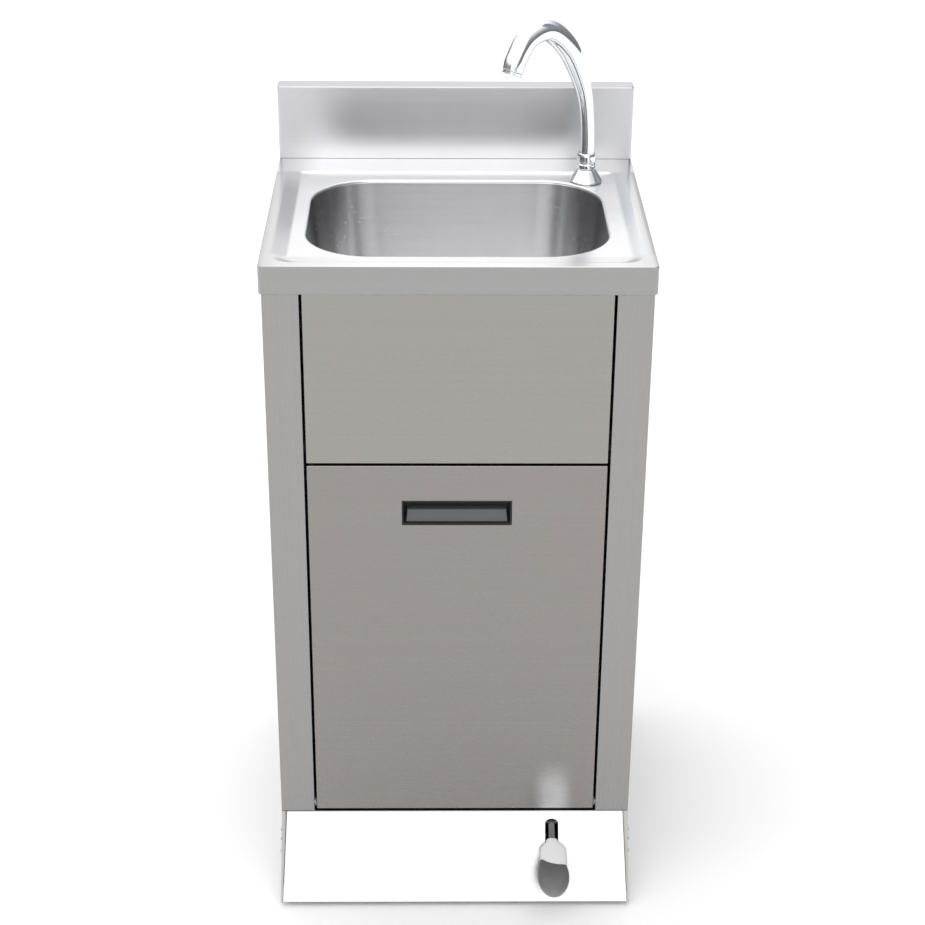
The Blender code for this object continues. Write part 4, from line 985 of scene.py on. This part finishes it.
line, radii = ribbed(WASTE, 15.5, 13.9, 4.6)
put("waste_tube", sweep(line, radii, 28), "grey", "cabinet", 60, "waste_hose")
put("suction_foot", turned(fillet([(0, 0), (11, 0), (11, 3.5), (10.2, 3.9), (10.2, 20), (11, 20.5), (11, 24), (8, 27), (0, 27)], {1: 0.8, 6: 0.8, 7: 0.8}, 3), (CAN_X, NECK_Y, 108.6), steps=96, closed=False, flutes=24, flute_depth=1.2, flute_rows=set(range(5, 9))), "dark", "cabinet", 40, "suction_filter")
for k, (pts, where) in enumerate(((SUCTION, 2.2), (SUPPLY, 2.2))):
    a, b = Vector(pts[0]), Vector(pts[1])
    d = (b - a).normalized()
    put(f"hose_clip_{k}", turned(fillet([(6.1, 0), (7.4, 0), (7.4, 6), (6.1, 6)], {1: 0.3, 2: 0.3}, 3), a + d * where, d, steps=48), "inner", "cabinet", 40)
a, b = Vector(SUPPLY[-1]), Vector(SUPPLY[-2])
put("tail_ferrule", turned(fillet([(6.1, 0.6), (7.6, 0.6), (7.9, 3), (7.5, 4), (7.5, 12), (7.9, 13), (7.2, 15), (6.1, 15)], {1: 0.4, 2: 0.4, 5: 0.4, 6: 0.4}, 3), a, b - a, steps=48), "chrome", "cabinet", 40)

# =============================================================== drain
DZ = SINK - 155.0
put("drain_cup", turned(fillet(
    [(20, 2.6), (24, 3.0), (33, 2.0), (34.5, 0.6), (34.3, 0.3), (22.5, 0.3), (22.5, -46), (16.2, -50), (16.2, -74), (13.0, -74), (13.0, -47), (20, -43)],
    {1: 1.0, 2: 1.2, 3: 0.3, 6: 1.5, 7: 1.5}, 4), (0, BC, DZ), steps=96), "satin", "cabinet", 40, "drain_body")
plate = put("drain_plate", turned(fillet([(0, -1.7), (17.5, -2.0), (19.5, -2.4), (19.5, -3.4), (0, -3.4)], {1: 1.0, 2: 0.3, 3: 0.3}, 3), (0, BC, DZ), steps=96, closed=False), "satin", "cabinet", 35, "drain_strainer")
holes = bmesh.new()
for count, radius in ((1, 0.0), (6, 4.6), (12, 9.2), (18, 13.8)):
    for k in range(count):
        ang = 2 * math.pi * k / count + radius
        bmesh.ops.create_cone(holes, cap_ends=True, segments=14, radius1=1.25 * MM, radius2=1.25 * MM, depth=8 * MM,
                              matrix=Matrix.Translation(mm(radius * math.cos(ang), BC + radius * math.sin(ang), DZ - 2.5)))
cut(plate, holes)
put("drain_screw", turned(fillet([(0, -0.2), (3.0, -0.5), (3.6, -1.2), (3.6, -2.0), (0, -2.0)], {1: 0.5, 2: 0.2}, 3), (0, BC, DZ), steps=32, closed=False), "satin", "cabinet", 40)

# =============================================================== foot pump
AY = (0, 1, 0)
put("pump_tube", turned(fillet(
    [(28, -84), (31, -84), (31, -78), (30.2, -77.4), (30.2, -42.6), (31, -42), (31, -36), (28, -36)], {1: 0.5, 2: 0.4, 5: 0.4, 6: 0.5}, 3
), (PX, PB, PZ), AY, steps=96), "grey", "cabinet", 40, "pump_barrel")
put("pump_front", turned(fillet(
    [(5.4, -90), (12, -90), (13, -86), (31, -86), (31, -84.4), (27.5, -84.4), (27.5, -80), (5.4, -80)], {1: 0.8, 2: 1.2, 3: 0.5}, 4
), (PX, PB, PZ), AY, steps=96), "dark", "cabinet", 40, "pump_gland")
put("pump_rear", turned(fillet([(0, -35.6), (31, -35.6), (31, -22), (28, -19), (6, -19), (0, -19.0)], {1: 0.5, 2: 1.0, 3: 1.0}, 4), (PX, PB, PZ), AY, steps=96, closed=False), "dark", "cabinet", 40, "pump_head")
for k, dx in enumerate((14.0, -12.0)):
    put(f"pump_port_{k}", turned(fillet(
        [(0, -20), (7.5, -20), (7.5, -16.4), (4.9, -15.6), (4.6, -4.2), (0, -4.0)], {1: 0.4, 2: 0.6, 3: 0.6, 4: 0.5}, 3
    ), (PX + dx, PB, PZ), AY, steps=40, closed=False), "dark", "cabinet", 40)
for k in range(6):
    ang = math.pi / 6 + k * math.pi / 3
    put(f"pump_bolt_{k}", turned(fillet([(0, -19.4), (2.6, -19.4), (2.6, -17.2), (0, -16.9)], {2: 0.6}, 3), (PX + 24.6 * math.cos(ang), PB, PZ + 24.6 * math.sin(ang)), AY, steps=20, closed=False), "inner", "cabinet", 40)
RF = -143.3 + 8 + 6.4
put("pump_push_rod", turned(fillet(
    [(0, RF), (9.0, RF), (10.5, RF + 1.2), (10.5, RF + 4), (5, RF + 5), (5, PB - 73), (0, PB - 73)], {1: 0.8, 2: 0.5, 3: 0.6, 4: 0.6, 5: 0.5}, 4
), (PX, 0, PZ), AY, steps=64, closed=False), "chrome", "pump_rod", 40, "piston_rod")


def spring():
    turns, per_turn, wire = 4.5, 36, 0.9
    y0, y1 = RF + 5.4, PB - 90.3
    count = int(turns * per_turn)
    line = []
    for k in range(count + 1):
        t = k / count
        # the end turns lie closed, as on a ground compression spring
        e = min(max((t - 0.11) / 0.78, 0.0), 1.0)
        ang = 2 * math.pi * k / per_turn
        y = y0 + wire + 0.9 * min(t / 0.11, 1.0) + 0.9 * max((t - 0.89) / 0.11, 0.0) + (y1 - y0 - 2 * wire - 1.8) * e
        line.append((PX + 8.0 * math.cos(ang), y, PZ + 8.0 * math.sin(ang)))
    obj = put("return_coil", sweep(line, wire, 12), "chrome", "cabinet", 60, "return_spring")
    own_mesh(obj)


spring()
put("lever_roller", turned(fillet([(0, -5.8), (5.2, -5.8), (6.0, -5.0), (6.0, 5.0), (5.2, 5.8), (0, 5.8)], {1: 0.3, 2: 0.4, 3: 0.4, 4: 0.3}, 3), (PX, -135.3, PZ), (1, 0, 0), steps=48, closed=False), "dark", "pedal", 40, "lever_nose")
# the pin takes the dark lever steel, painted shade for the slot
put("pivot_pin", turned(fillet([(0, -16), (3.4, -16), (4.0, -15.4), (4.0, 15.4), (3.4, 16), (0, 16)], {}, 3), (PX, -143.3, 82.0), (1, 0, 0), steps=48, closed=False), "lever", "cabinet", 40, "pedal_pin")
for k, x in enumerate((-1, 1)):
    put(f"pin_clip_{k}", turned(fillet([(4.05, -0.5), (6.4, -0.5), (6.4, 0.5), (4.05, 0.5)], {1: 0.2, 2: 0.2}, 2), (PX + x * 14.8, -143.3, 82.0), (1, 0, 0), steps=32), "lever", "cabinet", 40)

# =============================================================== tap tail
put("tap_tail", turned(
    [(6.0, -62), (9.2, -62)] + [(9.9 if k % 2 else 9.25, -61.2 + 0.75 * k) for k in range(0, 78)] + [(9.4, -2), (9.4, 15.8), (6.0, 15.8)],
    TAP, steps=48), "chrome", "cabinet", 25, "tap_shank")

# =============================================================== small hardware of the cabinet
def screw(name, at, axis, body="cabinet", r=2.6, high=1.3):
    head = turned(fillet([(0, -0.6), (r, -0.6), (r, 0.2), (r * 0.75, high * 0.8), (r * 0.35, high), (r * 0.3, high * 0.55), (0, high * 0.5)], {2: 0.3, 3: 0.4}, 3), at, axis, steps=28, closed=False)
    put(name, head, "inner", body, 40)


for sign, side in ((-1, "left"), (1, "right")):
    for k, t in enumerate((0.2, 0.3, 0.433)):
        screw(f"plinth_screw_{side}_{k}", (sign * 222, CF - 13 - (t - 0.2) * 65, SLOPE_TOP - 95.5 * t), (sign, 0, 0), r=1.7, high=1.2)
    for k, z in enumerate((60, 240, 430, 620, 800)):
        screw(f"back_screw_{side}_{k}", (sign * 211, CB, z), (0, 1, 0), r=3.2, high=1.6)

# =============================================================== simple pieces keep their CAD shape, with softened edges
BODY = {
    "door_liner": "door", "hinge_bush_left": "door", "hinge_bush_right": "door", "pedal_lever": "pedal", "piston": "pump_rod",
}


def softened(name, mat, width=0.3, segments=2):
    src = NODES[name]
    bm = bmesh.new()
    bm.from_mesh(src.data)
    bmesh.ops.remove_doubles(bm, verts=bm.verts, dist=2e-5)
    bmesh.ops.dissolve_limit(bm, angle_limit=math.radians(0.8), verts=bm.verts, edges=bm.edges)
    obj = put(name + "_fine", bm, mat, BODY.get(name, "cabinet"), 32, name, True)
    soften(obj, width, segments, 32)
    return obj


for name, mat, width in (
    ("back_panel", "stile", 0.3), ("door_liner", "stile", 0.25), ("floor_pan", "inner", 0.3), ("base_pan", "inner", 0.3), ("front_rail", "inner", 0.3),
    ("pump_saddle", "inner", 0.6), ("pedal_bracket", "inner", 0.5), ("pedal_lever", "lever", 0.8), ("catch_left", "dark", 0.5), ("catch_right", "dark", 0.5),
    ("hinge_bush_left", "grey", 0.2), ("hinge_bush_right", "grey", 0.2), ("hinge_pin_left", "inner", 0.3), ("hinge_pin_right", "inner", 0.3),
    ("drain_locknut", "grey", 0.8), ("tap_locknut", "chrome", 0.7), ("drain_gasket", "rubber", 0.5), ("tap_washer", "rubber", 0.5), ("piston", "rubber", 0.5),
):
    softened(name, mat, width)

for obj in FLAT:
    m = obj.modifiers.new("even", "WEIGHTED_NORMAL")
    m.mode, m.weight, m.keep_sharp = "FACE_AREA", 90, True


# =============================================================== studio
def studio():
    scene.view_settings.view_transform = "Standard"
    scene.view_settings.look = "None"
    floor = bpy.data.meshes.new("floor")
    s = 9.0
    floor.from_pydata([(-s, -s, 0), (s, -s, 0), (s, s, 0), (-s, s, 0)], [], [(0, 1, 2, 3)])
    obj = bpy.data.objects.new("floor", floor)
    scene.collection.objects.link(obj)
    mat, nt, b = new_material("floor_paint")
    b.inputs["Roughness"].default_value = 0.9
    b.inputs["Specular IOR Level"].default_value = 0.1
    tint = noise(nt, coords(nt), 1.5, 3.0)
    nt.links.new(ramp(nt, tint, [(0.3, (0.925, 0.925, 0.925)), (0.7, (0.94, 0.94, 0.94))]), b.inputs["Base Color"])
    floor.materials.append(mat)

    world = bpy.data.worlds.new("studio")
    world.use_nodes = True
    nt = world.node_tree
    bg = nt.nodes["Background"]
    tc = node(nt, "ShaderNodeTexCoord")
    sep = node(nt, "ShaderNodeSeparateXYZ")
    nt.links.new(tc.outputs["Generated"], sep.inputs[0])

    def math_node(op, a, b=None, clamp=False):
        m = node(nt, "ShaderNodeMath", operation=op)
        m.use_clamp = clamp
        for sock, v in zip(m.inputs, (a, b)):
            if v is None:
                continue
            if hasattr(v, "is_linked"):
                nt.links.new(v, sock)
            else:
                sock.default_value = v
        return m.outputs[0]

    x, y, z = sep.outputs
    flat = math_node("SQRT", math_node("ADD", math_node("MULTIPLY", x, x), math_node("MULTIPLY", y, y)))
    flat = math_node("MAXIMUM", flat, 0.001)
    facing = math_node("DIVIDE", math_node("ABSOLUTE", y), flat)
    side = math_node("DIVIDE", x, flat)

    def smooth(value, low, high):
        out = remap(nt, value, low, high, 0.0, 1.0)
        out.node.interpolation_type = "SMOOTHSTEP"
        return out

    # bright walls before and behind the object, an open left side, a dim right side, an even ceiling
    lobe = smooth(facing, 0.80, 0.975)
    height = ramp(nt, z, [(0.0, (0.8, 0.8, 0.8)), (0.2, (1.75, 1.75, 1.75)), (0.6, (1.9, 1.9, 1.9)), (0.85, (1.5, 1.5, 1.5))])
    left = ramp(nt, z, [(0.0, (0.2, 0.2, 0.2)), (0.2, (0.32, 0.32, 0.33)), (0.42, (1.5, 1.5, 1.52)), (0.8, (1.5, 1.5, 1.5))])
    right = ramp(nt, z, [(0.0, (0.2, 0.2, 0.2)), (0.3, (0.32, 0.32, 0.34)), (0.7, (1.0, 1.0, 1.03)), (0.88, (1.5, 1.5, 1.5))])
    sides = mix(nt, smooth(side, -0.2, 0.2), left, right)
    rear = mix(nt, smooth(y, 0.0, 0.2), (1.0, 1.0, 1.0), ramp(nt, z, [(0.25, (0.8, 0.8, 0.8)), (0.6, (0.8, 0.8, 0.8)), (0.75, (1.0, 1.0, 1.0))]))
    calm = node(nt, "ShaderNodeMix", data_type="RGBA", blend_type="MULTIPLY")
    calm.inputs[0].default_value = 1.0
    nt.links.new(height, calm.inputs[6])
    nt.links.new(rear, calm.inputs[7])
    sky = mix(nt, lobe, sides, calm.outputs[2])
    # a dark screen to the right of the camera
    ahead = math_node("MULTIPLY", y, -1.0)
    card = smooth(side, 0.955, 0.985)
    card = math_node("MULTIPLY", card, math_node("MULTIPLY", smooth(z, 0.16, 0.24), math_node("SUBTRACT", 1.0, smooth(z, 0.8, 0.88))))
    card = math_node("MULTIPLY", card, smooth(ahead, -0.36, -0.26))
    nt.links.new(mix(nt, card, sky, (0.27, 0.30, 0.35)), bg.inputs["Color"])
    bg.inputs["Strength"].default_value = 1.0
    scene.world = world


studio()
